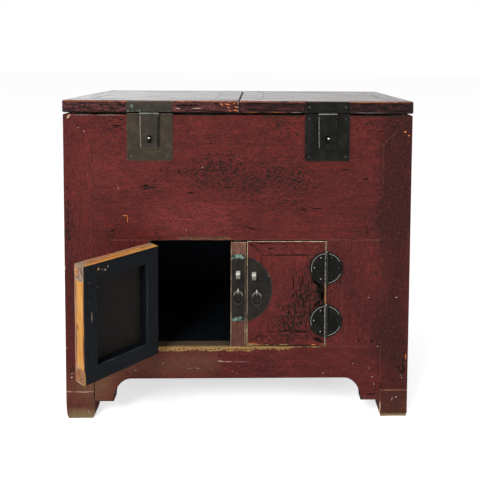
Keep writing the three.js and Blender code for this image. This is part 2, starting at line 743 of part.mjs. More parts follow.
function addDoor(body, side, name) {
  const group = addGroup(body, `${name}_door_group`, [side * hingeLine, -pinRise, 0]);
  addDoorBoards(group, side, name);
  addDoorHinges(body, group, side, name);
  const drop = side > 0 ? facePlateDrop : 0;
  addFacePlate(group, `${name}_door`, doorFacePlate(side),
    [-side * hingeLine, facePlateFace, facePlateHeight - drop], side * doorEyeFromMiddle);
  group.rotation.z = side < 0 ? -THREE.MathUtils.degToRad(leftDoorOpenDegrees) : 0;
}

// The centre post lifts out: its head tenon has room above it, and its foot tenon is short.

function addPost(body) {
  const group = addGroup(body, 'centre_post_group', [0, 0, 0]);
  const bottom = sillHeight + seatGap;
  const top = openingTop - postHeadGap;
  const tenonY = (frontBoardThickness - tenonThickness) / 2;
  const tenon = (z) => block([-tenonWidth / 2, tenonWidth / 2], [tenonY, tenonY + tenonThickness], z);
  addPiece(group, 'centre_post', fadedLacquer, join(
    block([-postWidth / 2, postWidth / 2], [0, frontBoardThickness], [bottom, top]),
    tenon([sillHeight - postFootTenon, bottom + tenonClearance]),
    tenon([top - tenonClearance, openingTop + postHeadGrip])));
  addFacePlate(group, 'centre_post', postFacePlate(),
    [0, -seatGap - plateThickness, facePlateHeight], 0);
}

// The cabinet

const cabinet = new THREE.Group();
addLegs(cabinet);
addFront(cabinet);
addSides(cabinet);
addBack(cabinet);
addFloors(cabinet);
for (const [side, name] of sides) {
  const lid = addLid(cabinet, side, name);
  addLidHinges(cabinet, lid, side, name);
  addHasp(cabinet, lid, side, name);
  addDoor(cabinet, side, name);
}
addPost(cabinet);

const space = new THREE.Box3().setFromObject(cabinet, true);
cabinet.position.y = -(space.min.y + space.max.y) / 2;

export default cabinet;
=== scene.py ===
import itertools
import json
import math
import random

import bmesh
import bpy
import numpy as np
from mathutils import Matrix, Vector, noise

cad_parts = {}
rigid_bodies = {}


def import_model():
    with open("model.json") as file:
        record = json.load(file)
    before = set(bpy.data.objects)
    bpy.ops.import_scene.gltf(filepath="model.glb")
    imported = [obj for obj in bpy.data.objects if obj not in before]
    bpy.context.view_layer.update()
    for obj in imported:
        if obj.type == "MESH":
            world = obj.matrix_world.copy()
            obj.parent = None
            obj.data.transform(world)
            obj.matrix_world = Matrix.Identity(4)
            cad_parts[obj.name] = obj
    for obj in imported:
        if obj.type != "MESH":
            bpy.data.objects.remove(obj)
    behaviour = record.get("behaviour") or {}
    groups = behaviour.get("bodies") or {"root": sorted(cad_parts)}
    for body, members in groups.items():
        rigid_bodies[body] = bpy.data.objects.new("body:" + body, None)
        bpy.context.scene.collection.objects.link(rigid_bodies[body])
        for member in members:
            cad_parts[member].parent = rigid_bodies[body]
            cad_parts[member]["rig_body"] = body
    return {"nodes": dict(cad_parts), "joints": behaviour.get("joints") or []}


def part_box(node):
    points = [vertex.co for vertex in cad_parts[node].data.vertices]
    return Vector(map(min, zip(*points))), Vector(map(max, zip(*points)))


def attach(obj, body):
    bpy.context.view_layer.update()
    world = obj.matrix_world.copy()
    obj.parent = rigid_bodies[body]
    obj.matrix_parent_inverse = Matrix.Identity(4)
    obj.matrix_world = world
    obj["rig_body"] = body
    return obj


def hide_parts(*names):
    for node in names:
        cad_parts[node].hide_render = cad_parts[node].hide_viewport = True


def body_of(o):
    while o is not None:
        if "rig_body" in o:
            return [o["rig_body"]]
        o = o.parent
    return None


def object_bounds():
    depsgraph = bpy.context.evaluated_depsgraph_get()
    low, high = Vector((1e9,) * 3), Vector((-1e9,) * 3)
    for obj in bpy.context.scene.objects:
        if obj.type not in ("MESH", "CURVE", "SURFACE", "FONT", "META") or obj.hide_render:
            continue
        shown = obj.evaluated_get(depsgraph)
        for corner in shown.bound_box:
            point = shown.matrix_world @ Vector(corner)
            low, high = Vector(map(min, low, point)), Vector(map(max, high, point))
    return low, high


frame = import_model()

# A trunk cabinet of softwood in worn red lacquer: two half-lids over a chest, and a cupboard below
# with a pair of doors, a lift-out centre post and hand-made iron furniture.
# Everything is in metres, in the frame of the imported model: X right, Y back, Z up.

cadLow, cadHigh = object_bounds()
mm = 0.001
random.seed(7)

# Places that everything below is measured from

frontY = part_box("upper_front_board")[0].y
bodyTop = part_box("front_top_rail")[1].z
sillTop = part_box("apron")[1].z
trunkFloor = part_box("trunk_floor")[0].z
right, back, up = Vector((1, 0, 0)), Vector((0, 1, 0)), Vector((0, 0, 1))
frontWay, backWay, upWay = (0, -1, 0), (0, 1, 0), (0, 0, 1)
doorPin = Vector(next(joint["pos_m"] for joint in frame["joints"] if joint["name"] == "left_door_hinge"))
sides = {"left": -1, "right": 1}


def at(x, y, z):
    # millimetres: x from the middle, y behind the front face, z above the floor
    return Vector((x * mm, frontY + y * mm, z * mm))


def opened(body):
    # the left door, and what hangs on it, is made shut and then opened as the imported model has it
    if not body.startswith("left_door"):
        return Matrix.Identity(4)
    return (Matrix.Translation(doorPin) @ Matrix.Rotation(math.radians(-135), 4, "Z")
            @ Matrix.Translation(-doorPin))


def draws():
    return [random.random() for each in range(3)]


# Camera

camera = {
    "place": (0.0360, -1.2149, 0.7312), "pitchDegrees": 3.0, "turnDegrees": -1.187, "rollDegrees": -0.396,
    "focalPixels": 554.3, "imagePixels": 480, "sensorWidth": 36.0, "shift": (-0.06, -0.3142),
}


def makeCamera():
    data = bpy.data.cameras.new("camera")
    data.sensor_width = camera["sensorWidth"]
    data.lens = camera["focalPixels"] / camera["imagePixels"] * camera["sensorWidth"]
    data.shift_x, data.shift_y = camera["shift"]
    seat = bpy.data.objects.new("camera", data)
    seat.location = camera["place"]
    seat.rotation_euler = (math.radians(90 - camera["pitchDegrees"]), math.radians(camera["rollDegrees"]),
                           math.radians(camera["turnDegrees"]))
    bpy.context.scene.collection.objects.link(seat)
    bpy.context.scene.camera = seat


makeCamera()
print("camera set")

# Materials. Their textures read painted attributes: grain (metres, with X along the grain), edge and
# seam (millimetres to the nearest arris or joint), and tone, scuff, bare and faded (how much of each).

farAway = 40.0  # edge and seam where no arris or joint is near
painted = {"edge": farAway, "seam": farAway, "tone": 0.0, "scuff": 0.0, "bare": 0.0, "faded": 0.0}


def fromHex(text):
    shares = [int(text[start:start + 2], 16) / 255 for start in (1, 3, 5)]
    return [share / 12.92 if share <= 0.04045 else ((share + 0.055) / 1.055) ** 2.4
            for share in shares] + [1.0]


def connect(tree, socket, value):
    # a node or a socket is linked, and a number or a colour is written in
    if isinstance(value, bpy.types.Node):
        value = next(output for output in value.outputs if output.enabled)
    if isinstance(value, bpy.types.NodeSocket):
        tree.links.new(value, socket)
    else:
        socket.default_value = value


def addNode(tree, kind, links, **settings):
    node = tree.nodes.new("ShaderNode" + kind)
    for name, value in settings.items():
        setattr(node, name, value)
    for key, value in links.items():
        connect(tree, node.inputs[key] if isinstance(key, int)
                else next(each for each in node.inputs if each.name == key and each.enabled), value)
    return node


class Finish:
    # a material while it is made, with its patterns in millimetres along the grain

    def __init__(self, name):
        self.material = bpy.data.materials.new(name)
        self.material.use_nodes = True
        self.tree = self.material.node_tree
        read = {word: addNode(self.tree, "Attribute", {}, attribute_name=word)
                for word in ("grain", *painted)}
        self.grain = read["grain"].outputs["Vector"]
        self.marks = {word: read[word].outputs["Fac"] for word in painted}

    def total(self, ground, *weighted, cut=None, most=1.0):
        # the ground and the weighted values; a cut turns what lies between its two ends into 0 to most
        for value, weight in weighted:
            ground = addNode(self.tree, "Math", {0: value, 1: weight, 2: ground},
                             operation="MULTIPLY_ADD")
        return ground if cut is None else addNode(self.tree, "MapRange", {
            "Value": ground, "From Min": cut[0], "From Max": cut[1], "To Max": most},
            interpolation_type="SMOOTHSTEP")

    def cloudy(self, size, stretch=1.0, detail=2.0, cut=None):
        # blots about size across, longer along the grain the smaller stretch is
        place = addNode(self.tree, "Mapping", {"Vector": self.grain, "Scale": (stretch, 1, 1)})
        return self.total(addNode(self.tree, "TexNoise", {
            "Vector": place, "Scale": 1 / (size * mm), "Detail": detail, "Roughness": 0.6}), cut=cut)

    def coated(self, look, ground, *coats):
        # coats of the look's tints over each other; a third number is the share that a full coat hides
        ground = fromHex(look[ground]) if isinstance(ground, str) else ground
        for amount, tint, *most in coats:
            ground = addNode(self.tree, "Mix", {
                "Factor": self.total(0.0, (amount, *most)) if most else amount, "A": ground,
                "B": fromHex(look[tint]) if isinstance(tint, str) else tint}, data_type="RGBA")
        return ground

    def bareColour(self, look):
        return self.coated(look, "wood", (self.cloudy(2.2, 0.03, cut=(0.36, 0.66)), "woodStreak"),
                           (self.cloudy(30, 0.3, cut=(0.4, 0.65)), "woodCloud", 0.45))

    def close(self, colour, rough, relief, strength, depth, others):
        bump = addNode(self.tree, "Bump", {
            "Height": relief, "Strength": strength, "Distance": depth * mm})
        sockets = self.tree.nodes["Principled BSDF"].inputs
        for name, value in {"Base Color": colour, "Roughness": rough, "Normal": bump, **others}.items():
            connect(self.tree, sockets[name], value)
        return self.material


def lacquer(name, **changes):
    look = {**wornLacquer, **changes}
    finish = Finish(name)
    cloudy, total = finish.cloudy, finish.total
    edge, seam, tone, scuff, bare, faded = finish.marks.values()
    cloud = cloudy(95, 0.5, cut=(0.36, 0.66))
    streak = cloudy(look["streakSize"], look["streakStretch"], 3.0, (0.42, 0.64))
    patch = cloudy(48, 0.7, cut=(0.4, 0.68))
    fine = cloudy(2.9, 0.6, cut=(0.42, 0.62))
    mottle = cloudy(12, 0.5, 3.0, (0.42, 0.62))
    warm = cloudy(3.3, 0.5, cut=(0.5, 0.68))
    speck = cloudy(look["speckSize"], 0.42, 4.0)
    ragged = cloudy(5, 0.35, 3.0)
    crackle = total(speck, (patch, 0.06), (scuff, 0.12), cut=(look["crackle"], look["crackle"] + 0.07))
    dash = total(cloudy(2.4, 0.2, 3.0), (scuff, 0.06), cut=(0.69, 0.73))
    rub = total(cloudy(2.1, 0.6, 3.0), (scuff, 0.03), cut=(look["rub"], look["rub"] + 0.05))
    worn = total(0.0, (ragged, look["wear"]), (edge, -1.0), cut=(0.0, 0.35))
    glint = total(0.0, (ragged, look["wear"] * 0.75), (edge, -1.0), cut=(0.0, 0.25))
    dusty = total(-1.1, (cloudy(9), 2.6), (seam, -1.0), cut=(0.0, 0.3), most=0.6)
    dark = total(seam, (fine, 0.5), cut=(0.9, 0.1), most=look["jointShare"])
    naked = total(bare, (ragged, 0.9), cut=(0.88, 0.98))
    colour = finish.coated(
        look, "body", (cloud, "deep", 0.55), (total(tone, cut=(0.0, 1.0)), "bright"),
        (total(tone, cut=(0.0, -1.0)), "dim"), (warm, "bright", look["warmShare"]),
        (mottle, "grain", look["mottleShare"]), (streak, "grain", look["grainShare"]),
        (fine, "grain", look["fineShare"]), (rub, "rubbed"), (crackle, "crack"), (dash, "crack"),
        (dark, "joint"), (faded, "faded", total(0.45, (ragged, 1.1))), (dusty, "dust"),
        (worn, "ground"), (glint, "arris"), (naked, finish.bareColour(look)))
    rough = total(look["rough"], (crackle, 0.16), (naked, 0.25), (streak, look["streakRough"]),
                  (tone, look["toneRough"]), (worn, 0.15))
    relief = total(0.5, (streak, -0.12), (crackle, -0.4), (dash, -0.4), (worn, -0.3), (speck, 0.35),
                   (naked, -0.4))
    return finish.close(colour, rough, relief, look["relief"], 0.3, {
        "Specular IOR Level": look["shine"], "Coat Weight": look["coat"],
        "Coat Roughness": look["coatRough"]})


wornLacquer = {
    "body": "#682521", "deep": "#551f1c", "bright": "#863833", "dim": "#351513", "grain": "#331411",
    "grainShare": 0.35, "fineShare": 0.48, "warmShare": 0.38, "mottleShare": 0.3, "faded": "#8c8058",
    "rubbed": "#8a544b", "crack": "#1c150e", "joint": "#1a0e0c", "jointShare": 0.5, "dust": "#80554b",
    "ground": "#7a4a34", "arris": "#b08868", "wood": "#a8844e", "woodStreak": "#6d4b2b",
    "woodCloud": "#8c7a54", "crackle": 0.64, "rub": 0.69, "wear": 1.0, "rough": 0.46, "streakRough": 0.05,
    "toneRough": 0.0, "shine": 0.13, "coat": 0.03, "coatRough": 0.3, "relief": 0.5, "streakSize": 2.8,
    "streakStretch": 0.07, "speckSize": 2.9,
}
redLacquer = lacquer("red_lacquer_worn")  # red lacquer, crackled to olive black
doorLacquer = lacquer(  # the closed door, its arrises rubbed to pale wood
    "red_lacquer_door", ground="#8a6c4e", arris="#d9c6a2", wear=2.5)
apronLacquer = lacquer(  # the apron, its arrises painted dark: painted shade in the gaps beside it
    "red_lacquer_apron_shaded_arris", ground="#2c1a13", arris="#33241a", wear=2.6)
sideLacquer = lacquer(  # the sides and the back, less crackled
    "red_lacquer_side", crackle=0.69, wear=1.3)
fadedLacquer = lacquer(  # the post, rubbed pale by hands
    "red_lacquer_faded", body="#674034", deep="#57352c", bright="#80584a", dim="#502a22",
    grain="#3c241e", wear=1.9, arris="#d8c4a4", ground="#a5795a", crackle=0.67, rough=0.55)
lidLacquer = lacquer(  # the lids, darker and glossier, streaked along the grain
    "lid_lacquer_top", body="#45211f", deep="#381b1b", bright="#5c2d2c", dim="#301817", grain="#0f0b0a",
    grainShare=0.8, fineShare=0.4, mottleShare=0.0, crack="#120d0c", joint="#0d0908", dust="#2a1c18",
    ground="#5c3422", arris="#7a4a2c", wear=0.8, crackle=0.66, rough=0.22, streakRough=0.32,
    toneRough=0.22, shine=0.5, coat=0.4, coatRough=0.12, relief=0.6, streakSize=5.5, streakStretch=0.05)
lidEdgeLacquer = lacquer(  # their fronts, streaked with black
    "lid_lacquer_edge", body="#592a2c", deep="#472022", bright="#743c3d", dim="#2a1416",
    grain="#181210", grainShare=0.9, fineShare=0.6, crack="#120e0c", joint="#0d0908", dust="#2a1c18",
    ground="#7c4026", arris="#b0744e", wear=0.9, crackle=0.6, rough=0.45, relief=0.5, streakSize=2.6,
    streakStretch=0.13, speckSize=3.2, wood="#cc6c3c", woodStreak="#a8522e", woodCloud="#d88552")
insidePaint = lacquer(  # blue-black paint on the doors' inner frames, and painted shade on the right door's rim behind its front
    "inside_paint_black", body="#10141a", deep="#0c1014", bright="#1c2128", dim="#060708",
    grain="#050608", grainShare=0.3, fineShare=0.35, warmShare=0.3, rubbed="#2f3335", crack="#050505",
    joint="#050505", ground="#2f2a25", arris="#5b554e", dust="#24242a", wear=0.7, crackle=0.7,
    rough=0.55, rub=0.76)
panelPaint = lacquer(  # the sunk panels, browner than their frames
    "inside_paint_brown", body="#1b1715", deep="#151211", bright="#24201d", dim="#0c0a0a",
    grain="#0e0c0b", grainShare=0.35, fineShare=0.25, warmShare=0.2, rubbed="#2c2825", crack="#080706",
    joint="#050505", ground="#2f2a25", arris="#3c342c", dust="#24201c", wear=0.5, crackle=0.72,
    rough=0.6, rub=0.78)
cupboardPaint = lacquer(  # blue-black paint inside, dull with dust
    "inside_paint_cupboard", body="#2c333f", deep="#242a34", bright="#39414d", dim="#181c22",
    grain="#14171c", grainShare=0.3, fineShare=0.35, warmShare=0.3, rubbed="#4a4c4e", crack="#0c0d0f",
    joint="#0c0d0f", ground="#2f2a25", arris="#4b4640", dust="#343438", wear=0.6, crackle=0.72,
    rough=0.7, rub=0.78)


def bareWood(name, look):
    finish = Finish(name)
    total, marks = finish.total, finish.marks
    fine = finish.cloudy(0.9, 0.02, cut=(0.45, 0.7))
    patch = finish.cloudy(14, 0.5, 4.0)
    colour = finish.coated(
        look, finish.bareColour(look), (total(marks["tone"], (patch, 0.6), cut=(0.6, 0.9)), "tint"),
        (fine, "fine", 0.35), (total(marks["scuff"], (patch, 0.8), cut=(0.8, 0.95)), "grey"),
        (total(marks["bare"], (patch, 0.8), cut=(0.8, 0.95)), "pale"),
        (total(marks["seam"], cut=(1.2, 0.2), most=0.6), "dirt"))
    return finish.close(colour, total(look["rough"], (fine, 0.08)), total(0.0, (fine, -0.5), (patch, 0.4)),
                        0.4, 0.25, {"Specular IOR Level": 0.2})


goldenWood = bareWood("softwood_golden", {  # planed softwood, golden with age
    "wood": "#dc9f4c", "woodStreak": "#bd7c33", "woodCloud": "#e2ae66", "fine": "#a1652a",
    "grey": "#9a8069", "pale": "#946a49", "tint": "#b17c58", "dirt": "#54351c", "rough": 0.62})
agedWood = bareWood("softwood_dark", {  # unpainted softwood inside, dark with age
    "wood": "#241d18", "woodStreak": "#1a1511", "woodCloud": "#2c241d", "fine": "#100d0a",
    "grey": "#3a332b", "pale": "#4a3d2e", "tint": "#2c241d", "dirt": "#0d0a08", "rough": 0.75})
sillWood = bareWood("softwood_sill", {  # the sill behind the front, rubbed bare and grey
    "wood": "#5a4a38", "woodStreak": "#3a3026", "woodCloud": "#6d5c42", "fine": "#241d17",
    "grey": "#4c453b", "pale": "#8c7350", "tint": "#6d5c42", "dirt": "#1c1611", "rough": 0.8})


def iron(name, **changes):
    look = {**olive, **changes}
    finish = Finish(name)
    cloudy, total, marks = finish.cloudy, finish.total, finish.marks
    cloud = cloudy(16, cut=(0.38, 0.66))
    grit = cloudy(1.6, detail=5.0)
    crust = cloudy(5, detail=4.0)
    pit = total(grit, cut=(0.6, 0.72))
    # pale where edge is small: rubbed arrises, and painted highlights where a piece sets its edge by where
    # the light falls
    rubbedAndHighlit = total(0.0, (cloudy(4, detail=3.0), look["wear"]), (marks["edge"], -1.0), cut=(0.0, 0.5))
    verdigris = total(marks["bare"], (crust, 1.3), cut=(0.98, 1.16))
    rust = total(crust, cut=(0.62, 0.72), most=look["rustShare"])
    colour = finish.coated(
        look, "body", (cloud, "cloud"), (pit, "pit", 0.6), (rust, "rust"),
        (rubbedAndHighlit, "rubbed", look["rubShare"]),
        (verdigris, finish.coated(look, "green", (total(grit, cut=(0.42, 0.58)), "greenDeep"))))
    rough = total(look["rough"], (pit, 0.15), (rubbedAndHighlit, -0.12), (verdigris, 0.25))
    return finish.close(colour, rough, total(0.0, (grit, 0.6), (cloud, 0.3)), 0.4, 0.2, {
        "Metallic": total(look["metal"], (verdigris, -look["metal"])), "Specular IOR Level": look["shine"]})


olive = {
    "body": "#373027", "cloud": "#453b30", "pit": "#1f1a14", "rust": "#4f3626", "rustShare": 0.3,
    "rubbed": "#8b8573", "rubShare": 0.75, "green": "#94b3a5", "greenDeep": "#455a4f", "rough": 0.5,
    "metal": 0.22, "wear": 1.1, "shine": 0.2,
}
plateIron = iron("iron_olive_worn")  # the left hasp's plate, rubbed to olive grey
tongueIron = iron(  # its tongue and its plate on the lid, a little darker
    "iron_olive_dark", body="#332e27", cloud="#3d372f")
darkIron = iron(  # the face plates
    "iron_dark_plate", body="#1e1b18", cloud="#292520", pit="#100e0c")
blackIron = iron(  # japanned iron: the right hasp and the lids' hinges
    "iron_black", body="#100f0d", cloud="#1c1b18", pit="#070706", rust="#2b2019", rustShare=0.15,
    rubbed="#5c5c58", wear=0.9)
hingeIron = iron(  # the doors' hinge leaves, blacker and duller
    "iron_hinge_black", body="#100f0d", cloud="#1a1916", pit="#070706", rust="#1d1713", rustShare=0.15,
    rubbed="#6c6c68", wear=0.8, shine=0.12, metal=0.1)
knuckleIron = iron(  # hinge knuckles and raised lines, rubbed, with painted highlights on the side towards the light
    "iron_hinge_rubbed_highlit", body="#20201d", cloud="#2d2d29", pit="#0e0e0c", rubbed="#a9a9a3", wear=1.7,
    rubShare=0.9, rough=0.42, metal=0.15)
silverIron = iron(  # the hasps' nail heads, worn grey
    "iron_knuckle_grey", body="#45453f", cloud="#62625e", pit="#1e1e1c", rubbed="#9a9a96", wear=1.6,
    rough=0.42, metal=0.5)
ringIron = iron(  # the ring pulls, pale at the top as a painted highlight
    "iron_ring_grey", body="#2f2d29", cloud="#3d3b35", rubbed="#7d7a70", wear=1.4)
stapleIron = iron(  # lock staples and ring eyes, rubbed, and nearly white on top as a painted highlight
    "iron_staple_rubbed_highlit", body="#6e695f", cloud="#857f75", pit="#3a3731", rubbed="#cfcbc0", wear=1.7,
    rubShare=0.9, rough=0.45, metal=0.15)
glintIron = iron(  # a painted highlight: the bright dot on the crest of the hasps' staples
    "iron_painted_highlight", body="#e4e2dc", cloud="#f0eee8", pit="#a8a49a", rubbed="#ffffff", rustShare=0.0,
    rough=0.35, metal=0.0)
ribIron = {  # the tongues' left ribs, pale as a painted highlight
    "left": iron("iron_rib_brown", body="#665b51", cloud="#74685d", pit="#453c34",
                 rubbed="#8f8479", metal=0.1),
    "right": iron("iron_rib_grey", body="#454541", cloud="#53534e", pit="#2c2c29",
                  rubbed="#7e7e79", metal=0.1),
}


def spot(name, tint, rough):
    # one tone of chip, scratch, dust or painted shade, with grit in it
    finish = Finish(name)
    finish.grain = addNode(finish.tree, "TexCoord", {}).outputs["Object"]
    grit = finish.cloudy(1.8, detail=4.0, cut=(0.35, 0.7))
    darker = [channel * 0.62 for channel in fromHex(tint)[:3]] + [1.0]
    return finish.close(finish.coated({"tint": tint}, "tint", (grit, darker)), rough, grit, 0.4, 0.1,
                        {"Specular IOR Level": 0.08})


chipTones = {tone: spot(f"chip_{tone}", tint, rough) for tone, (tint, rough) in {
    "black": ("#15100b", 0.8),  # lacquer lifted down to the black ground, and a painted shadow under the lids
    "orange": ("#d97f48", 0.6),  # undercoat
    "pale": ("#c9ac92", 0.7),  # bruised wood and dust
    "pink": ("#7f4842", 0.6),  # lacquer rubbed thin
    "gold": ("#b48e4c", 0.7),  # pale wood, stained yellow
    "rust": ("#9a5a30", 0.7),  # undercoat, stained
    "grey": ("#8f8078", 0.7),  # dust in a worn arris
    "olive": ("#382f22", 0.8),  # old wood under thin lacquer, and painted shade under the lids' gap
    "umber": ("#4a3420", 0.8),  # dirt in the grain of the bare sill
    "wine": ("#58292d", 0.6),  # lacquer run over onto bare wood
    "slate": ("#41474e", 0.6),  # blue-black paint rubbed grey
}.items()}
print("materials made:", len(bpy.data.materials))

# Shapes


def within(place, low, high, slack=0.0):
    return all(low[axis] - slack * mm <= place[axis] <= high[axis] + slack * mm for axis in range(3))


def cutAcross(bm, axis, places):
    across = Vector((axis == 0, axis == 1, axis == 2))
    for place in places:
        bmesh.ops.bisect_plane(bm, geom=bm.verts[:] + bm.edges[:] + bm.faces[:], dist=1e-7,
                               plane_co=across * place, plane_no=across)


def gridPlaces(low, high, step):
    count = max(1, round((high - low) / step))
    return [low + (high - low) * index / count for index in range(1, count)]


def awayFrom(points, start, way):
    # from each point to the nearest place on the line that goes way from start
    share = np.clip((points - start) @ way / max(way @ way, 1e-12), 0, 1)
    return np.linalg.norm(points - start - share[:, None] * way, axis=1)


def nearest(points, lines):
    # millimetres from each point to the nearest of the lines
    found = np.full(len(points), farAway)
    for start, end in lines:
        found = np.minimum(found, awayFrom(points, start, end - start) / mm)
    return found


def soak(points, strokes):
    # how much of the strokes (x0, z0, x1, z1, reach, amount; millimetres) each point takes up
    found = np.zeros(len(points))
    for x0, z0, x1, z1, reach, amount in strokes:
        away = awayFrom(points, np.array([x0, z0]), np.array([x1 - x0, z1 - z0])) / reach
        found += amount * np.clip(1 - away, 0, 1) ** 0.7
    return found


def seenFlat(points):
    # x and z in millimetres
    return points[:, [0, 2]] / mm


def work(bm, arris, step, joined=None, dip=0.0, heights=()):
    # Rounds the arrises, cuts the faces into a grid, records how far each place is from an arris and
    # from a joint, and lets the faces fall and rise a little, as hand-planed ones do. Millimetres.
    bmesh.ops.remove_doubles(bm, verts=bm.verts, dist=0.01 * mm)
    bmesh.ops.recalc_face_normals(bm, faces=bm.faces)
    bmesh.ops.dissolve_limit(bm, angle_limit=math.radians(2), verts=bm.verts, edges=bm.edges)
    lines = {"edge": [], "seam": []}
    free = []
    for edge in bm.edges:
        if len(edge.link_faces) != 2 or edge.calc_face_angle_signed(0.0) < math.radians(30):
            continue
        ends = [vert.co.copy() for vert in edge.verts]
        held = bool(joined and joined((ends[0] + ends[1]) / 2))
        lines["seam" if held else "edge"].append([np.array(end) for end in ends])
        if not held:
            free.append(edge)
    bmesh.ops.bevel(bm, geom=free, offset=arris * mm, offset_type="OFFSET", segments=2, profile=0.5,
                    affect="EDGES", clamp_overlap=True, material=-1)
    places = np.array([vert.co for vert in bm.verts])
    for axis in range(3):
        low, high = places[:, axis].min(), places[:, axis].max()
        if high - low > step * mm * 0.7:
            # also close to both ends, where the wear fades out
            wanted = gridPlaces(low, high, step * mm) + [low + 3 * mm, high - 3 * mm]
            wanted += [height * mm for height in heights if axis == 2 and low < height * mm < high]
            cutAcross(bm, axis, sorted(wanted))
    for word, near in lines.items():
        measured = nearest(np.array([vert.co for vert in bm.verts]), near)
        layer = bm.verts.layers.float.get(word) or bm.verts.layers.float.new(word)
        for vert, value in zip(bm.verts, measured):
            vert[layer] = value
    if dip:
        bm.normal_update()
        seed = Vector(draws()) * 9
        for vert in bm.verts:
            vert.co -= vert.normal * dip * mm * (0.5 + 0.5 * noise.noise(vert.co * 21 + seed))


mitre = {"width": 0.45, "depth": 0.6}  # how open the joints of the mitred frames are


def groove(bm, point, across, low, high):
    # an open joint: a narrow V in the faces between the corners low and high
    seam = bm.verts.layers.float["seam"]
    for share in (-1, 0, 1):
        faces = [face for face in bm.faces if within(face.calc_center_median(), low, high)]
        edges = {edge for face in faces for edge in face.edges}
        verts = {vert for face in faces for vert in face.verts}
        bmesh.ops.bisect_plane(bm, geom=[*verts, *edges, *faces], dist=1e-7,
                               plane_co=point + across * share * mitre["width"] * mm, plane_no=across)
    bm.normal_update()
    for vert in bm.verts:
        if within(vert.co, low, high, 1.0):
            away = abs((vert.co - point).dot(across)) / mm
            vert[seam] = min(vert[seam], away)
            if away < 0.02:
                vert.co -= vert.normal * mitre["depth"] * mm


def openMitres(bm, low, high, level, axes, width):
    # at the four corners of a frame that lies along two axes, in its face at level on the third
    for ends in itertools.product((low, high), repeat=2):
        corner, start, end = [level] * 3, [level - mm] * 3, [level + mm] * 3
        for axis, place in zip(axes, ends):
            corner[axis] = place[axis]
            start[axis] = place[axis] - (0 if place is low else width * mm)
            end[axis] = place[axis] + (width * mm if place is low else 0)
        across = Vector((1, 0, 0))
        across[max(axes)] = -1 if ends[0] is ends[1] else 1
        groove(bm, Vector(corner), across.normalized(), start, end)


def addPrism(bm, points, base, across, upward, depth):
    # the outline (millimetres) in the plane of across and upward, carried on along their normal
    through = across.cross(upward) * depth * mm
    near = [bm.verts.new(base + across * x * mm + upward * z * mm) for x, z in points]
    far = [bm.verts.new(vert.co + through) for vert in near]
    bm.faces.new(near[::-1])
    bm.faces.new(far)
    for index, vert in enumerate(near):
        after = (index + 1) % len(near)
        bm.faces.new((vert, near[after], far[after], far[index]))


def merge(bm, part):
    mesh = bpy.data.meshes.new("part")
    part.to_mesh(mesh)
    bm.from_mesh(mesh)
    bpy.data.meshes.remove(mesh)
    part.free()


def arc(x, z, radius, start, end, steps):
    turns = [math.radians(start + (end - start) * index / steps) for index in range(steps + 1)]
    return [(x + radius * math.cos(turn), z + radius * math.sin(turn)) for turn in turns]


def readAll(items, name, width=1, kind=float):
    values = np.empty(len(items) * width, dtype=kind)
    items.foreach_get(name, values)
    return values.reshape(-1, width) if width > 1 else values


def makePiece(name, bm, materials, body, nodes=(), slot=None, pick=None, along=0, paint=None, smooth=25):
    # pick chooses each face's material and along its grain (0, 1 or 2), both from the middles and
    # normals of the faces; paint gives each point its tone, scuff, bare and faded.
    mesh = bpy.data.meshes.new(name)
    bm.to_mesh(mesh)
    bm.free()
    for material in materials:
        mesh.materials.append(material)
    points = readAll(mesh.vertices, "co", 3)
    centres, normals = (readAll(mesh.polygons, word, 3) for word in ("center", "normal"))
    if pick:
        mesh.polygons.foreach_set("material_index", np.asarray(pick(centres, normals), dtype=np.int32))
    axes = np.zeros(len(centres), dtype=int) + (along(centres) if callable(along) else along)
    axes = np.repeat(axes, readAll(mesh.polygons, "loop_total", kind=np.int32))
    order = np.array([(0, 1, 2), (1, 0, 2), (2, 0, 1)])[axes]
    corners = points[readAll(mesh.loops, "vertex_index", kind=np.int32)]
    # no two pieces, and no two ways of the grain, show the same part of a pattern
    turned = np.take_along_axis(corners, order, axis=1) + np.array(draws()) * 3 + axes[:, None] * 0.37
    mesh.attributes.new("grain", "FLOAT_VECTOR", "CORNER").data.foreach_set("vector", turned.ravel())
    amounts = paint(points) if paint else {}
    for word, unpainted in painted.items():
        if word not in mesh.attributes:
            layer = mesh.attributes.new(word, "FLOAT", "POINT")
            layer.data.foreach_set("value", np.zeros(len(points)) + amounts.get(word, unpainted))
    mesh.transform(opened(body))
    mesh.shade_smooth()
    mesh.set_sharp_from_angle(angle=math.radians(smooth))
    piece = bpy.data.objects.new(name, mesh)
    bpy.context.scene.collection.objects.link(piece)
    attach(piece, body)
    if nodes:
        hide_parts(*nodes)


# Woodwork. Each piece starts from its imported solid.

